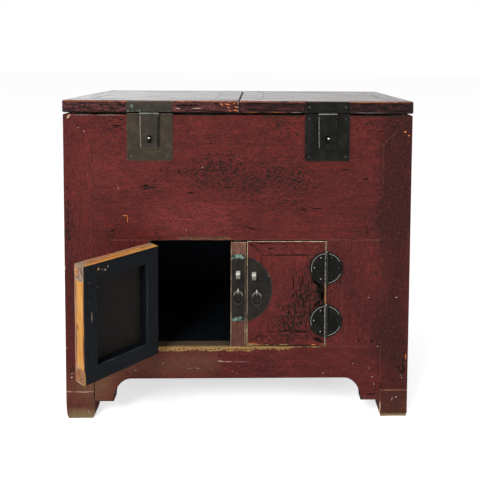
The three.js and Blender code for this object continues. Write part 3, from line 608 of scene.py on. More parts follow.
frontPaint = {
    "tone": [  # painted light and shade over the lacquer's own tone: brighter at the left, where the light comes from, and above the doorway; dimmer at the right, along the left leg's outer arris and low down
        (-144, 405, -40, 405, 60, 0.45), (-250, 440, -60, 440, 70, 0.15), (-219, 106, 60, 106, 40, -0.3),
        (60, 106, 240, 106, 40, -0.25), (324, 420, 324, 610, 52, -1.25), (324, 110, 324, 420, 52, -0.85),
        (200, 330, 280, 160, 60, -0.5), (-320, 20, -320, 260, 50, -0.4), (320, 0, 320, 40, 50, -0.8),
        (60, 335, 145, 330, 40, 0.4), (100, 180, 160, 300, 60, -0.1), (-300, 560, 300, 560, 40, -0.15),
        (-60, 520, 110, 500, 70, -0.15), (220, 520, 280, 400, 70, -0.35), (-80, 476, 40, 476, 30, -0.4),
        (-60, 556, -60, 600, 40, 0.2), (-340, 300, -340, 610, 12, -0.35), (-290, 530, -120, 560, 80, 0.4),
        (60, 300, 150, 200, 70, -0.2)],
    "scuff": [  # where the crackle is thickest
        (-110, 505, -40, 500, 60, 0.5), (-30, 515, 100, 490, 75, 0.9), (110, 180, 175, 290, 48, 1.1),
        (340, 57, 340, 118, 18, 1.0), (-340, 367, -340, 449, 10, 1.2), (-186, 479, -170, 479, 16, 1.3),
        (-252, 388, -252, 388, 24, 0.9), (60, 590, 280, 596, 34, 0.5), (165, 262, 176, 200, 16, 1.2),
        (200, 370, 290, 400, 34, 0.4), (-330, 150, -330, 330, 24, 0.4), (-260, 600, -210, 600, 20, 0.6),
        (40, 250, 140, 320, 40, 0.35), (60, 170, 110, 230, 50, 0.5), (-100, 380, 60, 420, 40, 0.3)],
    "bare": [  # down to the wood on the sill
        (-160, 147, 20, 147, 12, 0.95), (20, 147, 100, 147, 9, 0.85), (100, 147, 178, 147, 4, 0.6)],
    "faded": [  # pale with age and damp at the feet, on the apron and over the doorway
        (-332, 0, -297, 0, 24, 0.62), (296, 0, 346, 0, 7, 0.85), (296, 20, 346, 20, 40, 0.05),
        (-325, 60, -300, 60, 60, 0.1), (-285, 70, -255, 120, 50, 0.14), (-200, 112, -60, 115, 32, 0.12),
        (-120, 373, -20, 373, 2.5, 0.5)],
}
carcass = {
    "arris": 0.35, "dip": 0.16, "step": 14, "frontStep": 8, "sillDepth": 14,
    "heights": (4, 8, 12, 16, 136, 140, 143, 145.5),  # where the strokes need closer points
}
cornerWear = {"inset": 1.5, "width": 15, "height": 12, "depth": 4, "curve": 1.6}
footWear = {"height": 36, "depth": 2.4, "curve": 1.5, "from": 320, "over": 20}  # from x, over the next


def frontMarks(points):
    near = points[:, 1] < frontY + 3 * mm
    return {word: soak(seenFlat(points), strokes) * near for word, strokes in frontPaint.items()}


def frameBody(node):
    return body_of(frame["nodes"][node])[0]


def packedCopy(node):
    bm = bmesh.new()
    bm.from_mesh(frame["nodes"][node].data)
    bm.transform(opened(frameBody(node)).inverted())
    return bm


woodNodes = [name for name in frame["nodes"]
             if name.endswith(("_leg", "_rail", "_board", "apron", "_jamb", "_panel", "_floor"))
             and not name.endswith(("lid_panel", "door_panel"))]
woodBoxes = {name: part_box(name) for name in woodNodes}


def touching(node):
    # whether a point of this piece's arris lies against another fixed board, or under the lids
    def joined(point):
        return point.z > bodyTop - 3 * mm or any(
            name != node and within(point, low, high, 0.5) for name, (low, high) in woodBoxes.items())
    return joined


def outward(*ways):
    # 0 for the faces that look along one of the ways, 1 for the others
    def pick(centres, normals):
        seen = np.max(np.stack([normals @ np.array(way) for way in ways]), axis=0)
        return np.where(seen > 0.3, 0, 1)
    return pick


def wearCorners(bm):
    # the body's top outer corners, worn round, and the left feet, worn in towards the floor
    top, foot = cornerWear, footWear
    for vert in bm.verts:
        place = vert.co
        near = 1 - (cadHigh.x - top["inset"] * mm - abs(place.x)) / (top["width"] * mm)
        high = 1 - (bodyTop - place.z) / (top["height"] * mm)
        if near > 0 and high > 0:
            place.z -= top["depth"] * mm * min(near, 1) ** top["curve"] * high
        low = 1 - place.z / (foot["height"] * mm)
        if low > 0 and place.x < 0:
            out = max(0, min(1, (-place.x / mm - foot["from"]) / foot["over"]))
            place.x += foot["depth"] * mm * low ** foot["curve"] * out


def makeCarcass():
    look = carcass
    for node in woodNodes:
        sideWay = (-1 if node.startswith("left") else 1, 0, 0)
        kind = node.split("_", 1)[1] if node.startswith(("left", "right")) else node
        inner = agedWood
        if kind.endswith("leg"):
            ways, grain, finish = [sideWay, frontWay if "front" in node else backWay], 2, redLacquer
        elif node in ("front_top_rail", "upper_front_board", "apron"):
            ways, grain, finish = [frontWay], 0, apronLacquer if node == "apron" else redLacquer
        elif kind in ("jamb", "front_panel"):
            ways, grain, finish, inner = [frontWay], 2, redLacquer, insidePaint
        elif kind.startswith("side"):
            ways, grain, finish = [sideWay], 1, sideLacquer
        elif node.startswith("back"):
            ways, grain, finish = [backWay], 0, agedWood if node == "back_panel" else sideLacquer
        else:
            ways, grain, finish = [upWay], 0, insidePaint if node == "cupboard_floor" else agedWood
        bm = packedCopy(node)
        atFront = "front" in node or node == "apron" or kind == "jamb"
        work(bm, look["arris"], look["frontStep" if atFront else "step"], touching(node), look["dip"],
             look["heights"])
        if "_leg" in node or "top_rail" in node:
            wearCorners(bm)

        def pick(centres, normals):
            chosen = outward(*ways)(centres, normals)
            if "_leg" in node:
                chosen[centres[:, 2] < sillTop - look["sillDepth"] * mm] = 0
            if node == "apron":
                chosen[normals[:, 2] > 0.7] = 2
            chosen[(chosen == 1) & (centres[:, 2] < trunkFloor)] = 3
            return chosen

        makePiece(f"{node}_wood", bm, [finish, inner, sillWood, cupboardPaint], frameBody(node), [node],
                  "bare_wood" if finish == agedWood else "red_lacquer", pick, grain, frontMarks)


makeCarcass()
print("carcass made")


def framed(low, high, first, second):
    # the grain in a mitred frame: along second in the stiles at both ends of first
    def along(centres):
        ends = np.minimum(centres[:, first] - low[first], high[first] - centres[:, first])
        rails = np.minimum(centres[:, second] - low[second], high[second] - centres[:, second])
        return np.where(ends < rails, second, first)
    return along


lidWearAndShade = {
    "bare": [(-350, 650, 350, 650, 2.8, 1.15)],  # the top arris, rubbed to the orange undercoat
    "scuff": [(-300, 640, 300, 640, 14, 0.5)],
    # the left lid's front lighter and the right one's darker: painted light and shade
    "tone": [(-340, 638, -20, 638, 40, 0.75), (20, 638, 340, 638, 40, -0.7)],
}
lid = {
    "topTone": (-0.6, 0.8),  # from the left end to the right: from glossy to dull
    "frame": (0.5, 10), "panel": (0.35, 12),  # arris and grid
    "frameDip": 0.12, "panelDip": 0.2, "heights": (627.2, 648.4), "joint": 4, "rail": 50,
    "middle": 60,  # the stiles at the middle have the grain of the rails
}


def lidMarks(points):
    near = points[:, 1] < frontY - 2 * mm
    found = {word: soak(seenFlat(points), strokes) * near for word, strokes in lidWearAndShade.items()}
    found["tone"] += ~near * np.interp(points[:, 0], (cadLow.x, cadHigh.x), lid["topTone"])
    return found


def makeLids():
    joint = lid["joint"] * mm
    for name in sides:
        node = f"{name}_lid_frame"
        low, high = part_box(node)
        ends = framed(low, high, 0, 1)
        bm = packedCopy(node)
        work(bm, *lid["frame"], lambda point: point.z < bodyTop + joint or abs(point.x) < joint
             or point.y > cadHigh.y - joint, lid["frameDip"], lid["heights"])
        openMitres(bm, low, high, high.z, (1, 0), lid["rail"])
        makePiece(f"{node}_wood", bm, [lidLacquer, agedWood, lidEdgeLacquer], f"{name}_lid", [node],
                  "lid_lacquer", lambda centres, normals: np.select(
                      [normals[:, 2] < -0.5, normals[:, 2] < 0.85], [1, 2], 0),
                  lambda centres: np.where(np.abs(centres[:, 0]) < lid["middle"] * mm, 0, ends(centres)),
                  lidMarks)
        node = f"{name}_lid_panel"
        bm = packedCopy(node)
        work(bm, *lid["panel"], lambda point: True, lid["panelDip"])
        makePiece(f"{node}_wood", bm, [lidLacquer, agedWood], f"{name}_lid", [node], "lid_lacquer",
                  outward(upWay), paint=lidMarks)


makeLids()
print("lids made")

door = {
    "frame": (0.8, 7), "panel": (0.3, 9),  # arris and grid
    "frameDip": 0.15, "panelDip": 0.2, "rail": 29.5,
    "rubbed": 6,  # how far the front's pale arrises reach inwards
    "edge": 4,  # how far from its free edge's plane a place still belongs to it
    "rimShadeDepth": 9,  # how far behind its front the right door's rim is painted blue-black: painted shade in the gaps round the door
}
edgeWear = {  # on the left door's free edge: its ends, and a darker strip along each arris
    "scuff": [(-20, 366, 50, 366, 34, 1.3)],
    "bare": [(-20, 150, 50, 150, 34, 1.3)],
    "tone": [(0, 150, 0, 366, 9, 1.4), (30, 150, 30, 366, 3.5, 0.9)],
}
topWear = {  # on its top, x and depth
    "scuff": [(-24, 4, -17, 12, 22, 0.8), (-178, 4, -168, 8, 16, 0.8)],
    "bare": [],
    "tone": [(-180, 0, -17, 0, 22, 0.75), (-60, 8, -17, 20, 20, 0.5)],
}


def makeDoors():
    for name, side in sides.items():
        node = f"{name}_door_frame"
        bm = packedCopy(node)
        places = np.array([vert.co for vert in bm.verts])
        low, high = places.min(axis=0), places.max(axis=0)
        free = low[0] if side > 0 else high[0]
        work(bm, *door["frame"], dip=door["frameDip"])
        openMitres(bm, low, high, low[1], (0, 2), door["rail"])
        edge, rubbed = bm.verts.layers.float["edge"], door["rubbed"] * mm
        for vert in bm.verts:  # the front is rubbed at its sides and its top only
            x, y, z = vert.co
            if low[0] + rubbed < x < high[0] - rubbed and z < high[2] - rubbed and y < low[1] + rubbed:
                vert[edge] = farAway

        def pick(centres, normals):
            chosen = np.where(normals[:, 1] < -0.3, 0, 1)
            rim = ((np.abs(normals[:, 2]) > 0.7) & (np.abs(centres[:, 2] - (low[2] + high[2]) / 2) > 0.1)
                   | (np.abs(normals[:, 0]) > 0.7) & (np.abs(centres[:, 0] - free) < door["edge"] * mm))
            # the right door's rim near its front takes the blue-black paint as painted shade in the gaps
            rimShaded = (centres[:, 1] < low[1] + door["rimShadeDepth"] * mm) & (side > 0)
            return np.where(rim, np.where(rimShaded, 1, 2), chosen)

        def paint(points):
            if side > 0:
                return frontMarks(points)
            x, y, z = points.T / mm
            onEdge = np.abs(points[:, 0] - free) < door["edge"] * mm
            onTop = ~onEdge & (points[:, 2] > high[2] - 3 * mm)
            depth = y - frontY / mm
            return {word: soak(np.stack([depth, z], axis=1), strokes) * onEdge
                    + soak(np.stack([x, depth], axis=1), topWear[word]) * onTop
                    for word, strokes in edgeWear.items()}

        makePiece(f"{node}_wood", bm, [doorLacquer, insidePaint, goldenWood], f"{name}_door", [node],
                  "red_lacquer", pick, framed(low, high, 0, 2), paint)
        node = f"{name}_door_panel"
        bm = packedCopy(node)
        work(bm, *door["panel"], lambda point: True, door["panelDip"])
        makePiece(f"{node}_wood", bm, [redLacquer, panelPaint], f"{name}_door", [node], "red_lacquer",
                  outward(frontWay), 2, frontMarks if side > 0 else None)


makeDoors()

post = {
    "arris": 1.0, "step": 7, "dip": 0.15,
    "tone": [(0, 365, 0, 345, 40, 0.8), (0, 150, 0, 190, 30, -0.4)],  # rubbed at the top, dirty at the foot
}


def makePost():
    bm = packedCopy("centre_post")
    work(bm, post["arris"], post["step"], dip=post["dip"])
    makePiece("centre_post_wood", bm, [fadedLacquer, agedWood], "centre_post", ["centre_post"],
              "faded_lacquer", outward(frontWay, (-1, 0, 0)), 2,
              lambda points: {"tone": soak(seenFlat(points), post["tone"])})


makePost()
print("doors and post made")

# Iron furniture

nailHeight = 1.0
plateDepth = 1.8
plateFace = -2.1  # of the plates on the body and the doors, from the front face


def newShape():
    bm = bmesh.new()
    for word in ("edge", "seam"):
        bm.verts.layers.float.new(word)
    return bm


def setEdge(bm, value):
    # value is a number, or gives one for each place: small where the iron is drawn bright, as wear or as a
    # painted highlight
    edge, seam = (bm.verts.layers.float[word] for word in ("edge", "seam"))
    for vert in bm.verts:
        vert[edge], vert[seam] = value(vert.co) if callable(value) else value, farAway


def addNail(bm, place, radius, edge=1.5):
    part = newShape()
    shape = Matrix.Translation(place) @ Matrix.Diagonal((1, nailHeight / radius, 1, 1))
    bmesh.ops.create_uvsphere(part, u_segments=14, v_segments=8, radius=radius * mm, matrix=shape)
    setEdge(part, edge)
    merge(bm, part)


def addRod(bm, place, axis, radius, start, end, segments=28, edge=1.0):
    # a rod along axis, from start to end (millimetres) past the place, with rounded ends
    part = newShape()
    spin = Matrix.Rotation(math.pi / 2, 4, "Y") if axis == 0 else Matrix.Identity(4)
    middle = Vector((0, 0, 0))
    middle[axis] = (start + end) / 2 * mm
    bmesh.ops.create_cone(part, cap_ends=True, segments=segments, radius1=radius * mm, radius2=radius * mm,
                          depth=abs(end - start) * mm, matrix=Matrix.Translation(place + middle) @ spin)
    rims = [rim for rim in part.edges if rim.calc_face_angle(0.0) > 1.2]
    bmesh.ops.bevel(part, geom=rims, offset=min(0.35, radius * 0.3) * mm, offset_type="OFFSET", segments=2,
                    profile=0.5, affect="EDGES", material=-1)
    setEdge(part, edge)
    merge(bm, part)


def addPlate(bm, points, place, depth=plateDepth, arris=0.35, step=4.0, dip=0.12):
    # a plate with its front towards -Y at place, and its outline in X and Z
    part = newShape()
    addPrism(part, points, place, right, up, -depth)
    work(part, arris, step, dip=dip)
    merge(bm, part)


def addStaple(bm, place, loop, width, reach, strap, edge=None):
    # a strap bent into a loop that stands out of the plate, with its hole along X
    outer, root = loop / 2, plateDepth / 2
    inner, far = outer - strap, outer - reach
    points = [(root, -outer), *arc(far, 0, outer, 270, 90, 15), (root, outer),
              (root, inner), *arc(far, 0, inner, 90, 270, 15), (root, -inner)]
    part = newShape()
    addPrism(part, points, place - right * (width / 2 * mm), back, up, width)
    work(part, 0.4, 30)
    # unless edge is given, the top is drawn bright: a painted highlight
    setEdge(part, edge or (lambda spot: 0.1 if spot.z > place.z + loop * 0.22 * mm else 1.3))
    merge(bm, part)


def addRing(bm, middle, radius, wire, axis, oval=1.0, turns=40, sides=12):
    part = newShape()
    circle = bmesh.ops.create_circle(part, segments=sides, radius=wire * mm,
                                     matrix=Matrix.Translation(Vector((radius * mm, 0, 0)))
                                     @ Matrix.Rotation(math.pi / 2, 4, "X"))["verts"]
    edges = list({edge for vert in circle for edge in vert.link_edges})
    bmesh.ops.spin(part, geom=circle + edges, cent=(0, 0, 0), axis=(0, 0, 1), angle=math.tau, steps=turns,
                   use_merge=True)
    bmesh.ops.remove_doubles(part, verts=part.verts, dist=1e-6)
    bmesh.ops.recalc_face_normals(part, faces=part.faces)
    turn = Matrix.Rotation(math.pi / 2, 4, "X" if axis == 1 else "Y")
    part.transform(Matrix.Translation(middle) @ Matrix.Diagonal((1, 1, oval, 1)) @ turn)
    seed = Vector(draws()) * 9
    for vert in part.verts:
        vert.co += Vector((1, 1, 1)) * 0.08 * mm * noise.noise(vert.co * 160 + seed)
    # its upper part drawn bright: a painted highlight
    setEdge(part, lambda spot: 0.2 if spot.z > middle.z + radius * 0.5 * mm else 1.2)
    merge(bm, part)


def tinted(spots):
    # verdigris on the points near the spots (x, z, reach, amount; millimetres)
    return lambda points: {"bare": soak(seenFlat(points), [
        (x, z, x, z, reach, amount) for x, z, reach, amount in spots])}


doorHinge = {
    "pinPlace": (178.3, -4.05), "pin": 1.8, "pinProud": 1.4, "heights": {"lower": 202.0, "upper": 311.0},
    "radius": 34.0, "clear": 4.55, "knuckle": 3.75, "gap": 0.2, "beadRadius": 30.4, "bead": 0.5,
    "beadEnds": (84, 88),  # degrees from the middle, where the leaf is round and where it has its notch
    "nail": 1.4, "nailRadius": 24.4, "nailDegrees": (-63, 3, 63),
    "nailHighlightEdge": {"jamb": 0.9, "door": 0.1}, "knuckleHighlightEdge": (0.62, 1.6),  # small where drawn bright: painted highlights on the door leaf's nails and on the knuckles' left side
}


def addBead(bm, place, radius, half, start, end):
    # a raised line round a disc, from one angle to another
    part = newShape()
    section = ((-half, -0.3), (-half * 0.6, 0.28), (half * 0.6, 0.28), (half, -0.3))  # its ends are sunk
    rows = []
    for x, z in arc(0, 0, 1, start, end, max(4, round(abs(end - start) / 6))):
        way = right * x + up * z
        rows.append([part.verts.new(place + way * (radius + across) * mm - back * rise * mm)
                     for across, rise in section])
    for low, high in zip(rows, rows[1:]):
        for index in range(4):
            after = (index + 1) % 4
            part.faces.new((low[index], low[after], high[after], high[index]))
    part.faces.new(rows[0])
    part.faces.new(rows[-1][::-1])
    bmesh.ops.recalc_face_normals(part, faces=part.faces)

    # bright arcs on its upper and left side and its lower right: painted highlights
    def rubbed(spot):
        turn = math.degrees(math.atan2(spot.z - place.z, spot.x - place.x))
        return 0.15 if 25 < turn < 200 or turn < -165 or -85 < turn < -20 else 1.1

    setEdge(part, rubbed)
    merge(bm, part)


def makeDoorHinges():
    look = doorHinge
    radius, clear, gap = look["radius"], look["clear"], look["gap"]
    reach = math.sqrt(radius ** 2 - clear ** 2)
    slant = math.degrees(math.asin(clear / look["beadRadius"]))
    pinX, pinY = look["pinPlace"]
    plain, notched = look["beadEnds"]
    rubbed, dull = look["knuckleHighlightEdge"]
    for (name, side), (level, height), leaf in itertools.product(
            sides.items(), look["heights"].items(), ("jamb", "door")):
        # the jamb's leaf has the lower knuckle and the door's leaf the upper one
        way, free, body = (side, 1, "carcass") if leaf == "jamb" else (-side, -1, f"{name}_door")
        label = f"{name}_{level}_hinge_{leaf}"
        pin = at(side * pinX, pinY, height)
        face = pin + back * (look["knuckle"] - plateDepth) * mm
        outline = [(0, -radius), *arc(0, 0, radius, -90, 90, 36)[1:-1], (0, radius)]
        kept = [(x, z) for x, z in outline if z * free < reach and not (z * free > 0 and x < clear)]
        notch = [(clear, free * reach), (clear, free * gap), (0, free * gap)]
        outline = kept + notch if free > 0 else notch[::-1] + kept
        bm = newShape()
        addPlate(bm, [(x * way, z) for x, z in outline], face, dip=0.1)
        makePiece(f"{label}_plate", bm, [hingeIron], body, [f"{name}_door_{level}_hinge_{leaf}_leaf"],
                  "black_iron", smooth=40)
        bm = newShape()
        for degrees in look["nailDegrees"]:
            turn = math.radians(degrees)
            addNail(bm, face + Vector((way * math.cos(turn), 0, math.sin(turn))) * look["nailRadius"] * mm,
                    look["nail"], look["nailHighlightEdge"][leaf])
        low, high = (-plain, notched - slant) if free > 0 else (slant - notched, plain)
        addBead(bm, face, look["beadRadius"], look["bead"],
                *((low, high) if way > 0 else (180 - high, 180 - low)))
        # the knuckle's left side drawn bright: a painted highlight
        addRod(bm, pin, 2, look["knuckle"], *((-radius, -gap) if leaf == "jamb" else (gap, radius)),
               edge=lambda spot: rubbed if spot.x < pin.x - 1.1 * mm else dull)
        if leaf == "jamb":
            length = radius + look["pinProud"]
            # the pin is drawn bright, so its heads show as painted highlights
            addRod(bm, pin, 2, look["pin"], -length, length, 16, 0.1)
        makePiece(f"{label}_knuckle", bm, [knuckleIron], body, slot="black_iron", smooth=40)


makeDoorHinges()
print("door hinges made")

facePlate = {
    "radius": 69.0, "edge": 18.4, "height": 270.95, "drop": 2.5, "postHalf": 14, "nail": 2.2,
    "nailInset": 7.0, "stapleLift": 28.0, "stapleX": 32.0, "staple": (15.0, 8.5, 12.0, 2.5),
    "eyeX": 37.6, "eyeDrop": 6.0, "eyeRise": 2.5, "eyeRadius": 4.0, "eyeWire": 1.5,
    "ring": (22.5, 30.0, 1.5),
    "doorTint": [(60, 30, 14, 0.32)],  # verdigris, with its heights from the plate's middle
    "postTint": [*[(x, z, 11, 0.4) for x in (-10, 0, 10) for z in (-66, 66)], (-14, 20, 5, 0.45)],
}


def makeFacePlate(body, side, height, outline, nailPlaces):
    look = facePlate
    middle = at(0, plateFace, height)
    node = f"{body}_face_plate"
    bm = newShape()
    addPlate(bm, outline, middle)
    for nailX, nailZ in nailPlaces:
        addNail(bm, middle + Vector((nailX, 0, nailZ)) * mm, look["nail"])
    spots = [(x, height + z, *rest) for x, z, *rest in look["doorTint" if side else "postTint"]]
    makePiece(f"{node}_iron", bm, [darkIron], body, [node], "worn_iron", paint=tinted(spots), smooth=40)
    bm = newShape()
    addStaple(bm, middle + Vector((side * look["stapleX"], 0, look["stapleLift"])) * mm, *look["staple"])
    makePiece(f"{body}_lock_staple", bm, [stapleIron], body, slot="worn_iron", smooth=35)
    bm = newShape()
    seat = middle + Vector((side * look["eyeX"], -look["eyeRise"], -look["eyeDrop"])) * mm
    addRing(bm, seat, look["eyeRadius"], look["eyeWire"], 0, turns=24, sides=10)
    makePiece(f"{body}_ring_eye", bm, [stapleIron], body, slot="worn_iron", smooth=50)
    width, length, wire = look["ring"]
    bm = newShape()
    addRing(bm, seat - up * (length / 2 - wire) * mm, width / 2 - wire, wire, 1,
            (length / 2 - wire) / (width / 2 - wire))
    makePiece(f"{body}_ring_pull", bm, [ringIron], f"{body}_ring", [f"{body}_ring"], "worn_iron", smooth=50)


def makeFacePlates():
    look = facePlate
    radius, edge, inset = look["radius"], look["edge"], look["nailInset"]
    spread = math.acos(edge / radius)
    nailZ = radius * math.sin(spread) - inset
    for name, side in sides.items():
        nailX = side * (edge + inset)
        outline = arc(0, 0, radius, -math.degrees(spread), math.degrees(spread), 44)
        makeFacePlate(f"{name}_door", side, look["height"] - (look["drop"] if side > 0 else 0),
                      [(side * x, z) for x, z in outline], [(nailX, nailZ), (nailX, -nailZ)])
    half = math.degrees(math.asin(look["postHalf"] / radius))
    makeFacePlate("centre_post", 0, look["height"],
                  arc(0, 0, radius, -90 - half, -90 + half, 6) + arc(0, 0, radius, 90 - half, 90 + half, 6),
                  [(0, radius - inset), (0, inset - radius)])


makeFacePlates()
print("face plates made")

hasp = {
    "x": 177.0, "width": 90.0, "body": (530.0, 624.0), "lid": (628.2, 648.7), "pin": (-5.9, 626.0),
    "bodyCorner": 1.5, "lidCorner": 1.0, "nailInset": 8.5, "nail": 1.9,
    "knuckle": 2.6, "pinRadius": 1.3, "gap": 0.4, "middle": 14.0, "tongueTop": 38.0, "tongueTip": 35.6,
    "length": 71.5, "thickness": 2.2, "rise": 1.4, "corner": 3, "rib": 2.4, "ribHeight": 1.2, "ribTop": 7.0,
    "slot": (9.0, 15.0), "slotDrop": 52.3, "tongueWork": (0.35, 5), "ribWork": (0.4, 8),  # arris and grid
    "staple": (10.5, 5.5, 13.0, 2.2), "shine": (0.8, 1.3, 2.6), "shineRadius": 2.2,  # its bright crest: a painted highlight
    "knuckleHighlightEdge": (0.45, 1.6),  # below the pin, where the knuckles are drawn bright as a painted highlight, and above
    # verdigris on the left one, from the foot of its plate on the lid
    "tint": {"left": [*[(x, 0, 4, 0.5) for x in range(-42, 43, 8)], (-36.5, 10.25, 8, 0.6)], "right": []},
}
haspIron = {"left": plateIron, "right": blackIron}
haspTongueIron = {"left": tongueIron, "right": blackIron}
haspSlot = {"left": "worn_iron", "right": "black_iron"}


def roundedBox(half, low, high, radius):
    corners = ((1, low + radius), (1, high - radius), (-1, high - radius), (-1, low + radius))
    return [point for turn, (side, z) in zip((-90, 0, 90, 180), corners)
            for point in arc(side * (half - radius), z, radius, turn, turn + 90, 4)]


def openSlot(bm, middle, width, length):
    # takes an oval out of a plate that lies in X and Z, and joins its two faces round the hole
    halves = {0: width / 2 * mm, 2: length / 2 * mm}
    for axis, shares in ((0, (-1, -0.7, -0.35, 0, 0.35, 0.7, 1)), (2, (-1, -0.8, -0.45, 0, 0.45, 0.8, 1))):
        cutAcross(bm, axis, [middle[axis] + share * halves[axis] for share in shares])
    gone = [face for face in bm.faces if abs(face.normal.y) > 0.9
            and all(abs(face.calc_center_median()[axis] - middle[axis]) < halves[axis] for axis in halves)]
    bmesh.ops.delete(bm, geom=gone, context="FACES")
    rim = [edge for edge in bm.edges if edge.is_boundary]
    for vert in {vert for edge in rim for vert in edge.verts}:
        away = {axis: (vert.co[axis] - middle[axis]) / half for axis, half in halves.items()}
        size = sum(abs(share) ** 3 for share in away.values()) ** (1 / 3)
        for axis, half in halves.items():
            vert.co[axis] = middle[axis] + away[axis] / size * half
    bmesh.ops.bridge_loops(bm, edges=rim)


def underside(pin):
    rubbed, dull = hasp["knuckleHighlightEdge"]
    # the knuckles' undersides drawn bright: a painted highlight
    return lambda spot: rubbed if spot.z < pin.z - 0.5 * mm else dull


def addHaspPlate(plate, heads, x, face, ends, corner, rows):
    half, inset = hasp["width"] / 2, hasp["nailInset"]
    addPlate(plate, roundedBox(half, *ends, corner), at(x, face, 0))
    for nailX, nailZ in itertools.product((inset - half, half - inset), rows):
        addNail(heads, at(x + nailX, face, nailZ), hasp["nail"])


def makeHaspBody(name, x, slotZ):
    look, slot = hasp, haspSlot[name]
    (low, high), inset = look["body"], look["nailInset"]
    plate, heads, staple, crest = (newShape() for each in range(4))
    addHaspPlate(plate, heads, x, plateFace, look["body"], look["bodyCorner"], (low + inset, high - inset))
    addStaple(staple, at(x, plateFace, slotZ), *look["staple"], edge=4.0)
    # a bright dot on the staple's crest: a painted highlight
    shineX, shineY, shineZ = look["shine"]
    addNail(crest, at(x + shineX, plateFace - look["staple"][2] + shineY, slotZ + shineZ),
            look["shineRadius"])
    makePiece(f"{name}_hasp_body_plate_iron", plate, [haspIron[name]], "carcass",
              [f"{name}_hasp_body_plate"], slot, smooth=40)
    makePiece(f"{name}_hasp_body_nails", heads, [silverIron], "carcass", slot=slot, smooth=40)
    makePiece(f"{name}_hasp_staple", staple, [hingeIron], "carcass", slot=slot, smooth=35)
    makePiece(f"{name}_hasp_staple_highlight", crest, [glintIron], "carcass", slot=slot, smooth=40)


def makeHaspLid(name, x, pin):
    look, slot = hasp, haspSlot[name]
    (low, high), body = look["lid"], f"{name}_lid"
    middle, top = look["middle"] / 2, look["tongueTop"] / 2 - look["gap"]
    plate, heads, knuckle = (newShape() for each in range(3))
    addHaspPlate(plate, heads, x, look["pin"][0] + look["knuckle"] - plateDepth, look["lid"],
                 look["lidCorner"], [(low + high) / 2])
    addRod(knuckle, pin, 0, look["knuckle"], -middle, middle, edge=underside(pin))
    addRod(knuckle, pin, 0, look["pinRadius"], -top, top, 14, underside(pin))
    spots = [(x + shift, low + rise, *rest) for shift, rise, *rest in look["tint"][name]]
    makePiece(f"{name}_hasp_lid_plate_iron", plate, [haspTongueIron[name]], body,
              [f"{name}_hasp_lid_plate"], slot, paint=tinted(spots), smooth=40)
    makePiece(f"{name}_hasp_lid_nails", heads, [silverIron], body, slot=slot, smooth=40)
    makePiece(f"{name}_hasp_lid_knuckle", knuckle, [knuckleIron], body, slot=slot, smooth=40)


def makeTongue(name, x, pin, slotZ):
    look, slot = hasp, haspSlot[name]
    middle, top, tip = (look[word] / 2 for word in ("middle", "tongueTop", "tongueTip"))
    length, rib, corner, rise = (look[word] for word in ("length", "rib", "corner", "ribHeight"))
    front, pinZ = plateFace - look["rise"] - look["thickness"], look["pin"][1]
    tongue, knuckle, part = (newShape() for each in range(3))
    outline = [(-top, 0), *arc(corner - tip, corner - length, corner, 180, 270, 5),
               *arc(tip - corner, corner - length, corner, 270, 360, 5), (top, 0)]
    addPrism(part, outline, at(x, front, pinZ), right, up, -look["thickness"])
    work(part, *look["tongueWork"])
    openSlot(part, at(x, front, slotZ), *look["slot"])
    merge(tongue, part)
    for end in (-1, 1):
        points = [(end * top, -look["ribTop"]), (end * (top - rib), -look["ribTop"]),
                  (end * (tip - rib), corner - length), (end * tip, corner - length)]
        addPlate(tongue, points, at(x, front - rise, pinZ), rise + 1, *look["ribWork"])
        addRod(knuckle, pin, 0, look["knuckle"], *sorted((end * (middle + look["gap"]), end * top)),
               edge=underside(pin))

    def pick(centres, normals):
        # the left rib is painted pale as a highlight, and the right one black as painted shade
        raised = centres[:, 1] < frontY + (front - 0.15) * mm
        return np.where(raised, np.where(centres[:, 0] < x * mm, 1, 2), 0)

    makePiece(f"{name}_hasp_tongue_iron", tongue, [haspTongueIron[name], ribIron[name], hingeIron],
              f"{name}_hasp", [f"{name}_hasp_tongue"], slot, pick, smooth=40)
    makePiece(f"{name}_hasp_tongue_knuckles", knuckle, [knuckleIron], f"{name}_hasp", slot=slot, smooth=40)


def makeHasps():
    slotZ = hasp["pin"][1] - hasp["slotDrop"]
    for name, side in sides.items():
        x = side * hasp["x"]
        pin = at(x, *hasp["pin"])
        makeHaspBody(name, x, slotZ)
        makeHaspLid(name, x, pin)
        makeTongue(name, x, pin, slotZ)


makeHasps()


def makeLidHinges():
    for name in [each for each in frame["nodes"] if "lid_" in each and "hinge" in each]:
        bm = packedCopy(name)
        work(bm, 0.3, 8, dip=0.08)
        makePiece(f"{name}_iron", bm, [blackIron], frameBody(name), [name], "black_iron", smooth=40)


makeLidHinges()
print("hasps and lid hinges made")

# Chips, scratches, dust and painted shade under the lids: thin flakes that lie on the faces

flakeShape = {"step": 1.6, "proud": 0.12, "sunk": 0.3, "ragged": (0.55, 1.25)}


def addFlake(bm, path, width, across, upward, base):
    # a ragged strip along the path (millimetres in the plane of across and upward)
    look = flakeShape
    steps = []
    for start, end in zip(path, path[1:]):
        count = max(2, round(math.dist(start, end) / look["step"]))
        way = (end[0] - start[0], end[1] - start[1])
        steps += [(start[0] + way[0] * index / count, start[1] + way[1] * index / count,
                   math.atan2(way[1], way[0])) for index in range(count + 1)]
    upper, lower = [], []
    for index, (x, z, turn) in enumerate(steps):
        share = math.sin(math.pi * (index + 0.35) / (len(steps) - 0.3))
        for row, side in ((upper, 1), (lower, -1)):
            reach = width / 2 * max(share, 0.15) * random.uniform(*look["ragged"]) * side
            row.append((x - reach * math.sin(turn), z + reach * math.cos(turn)))
    addPrism(bm, lower + upper[::-1], base - across.cross(upward) * look["sunk"] * mm, across, upward,
             look["sunk"] + look["proud"])


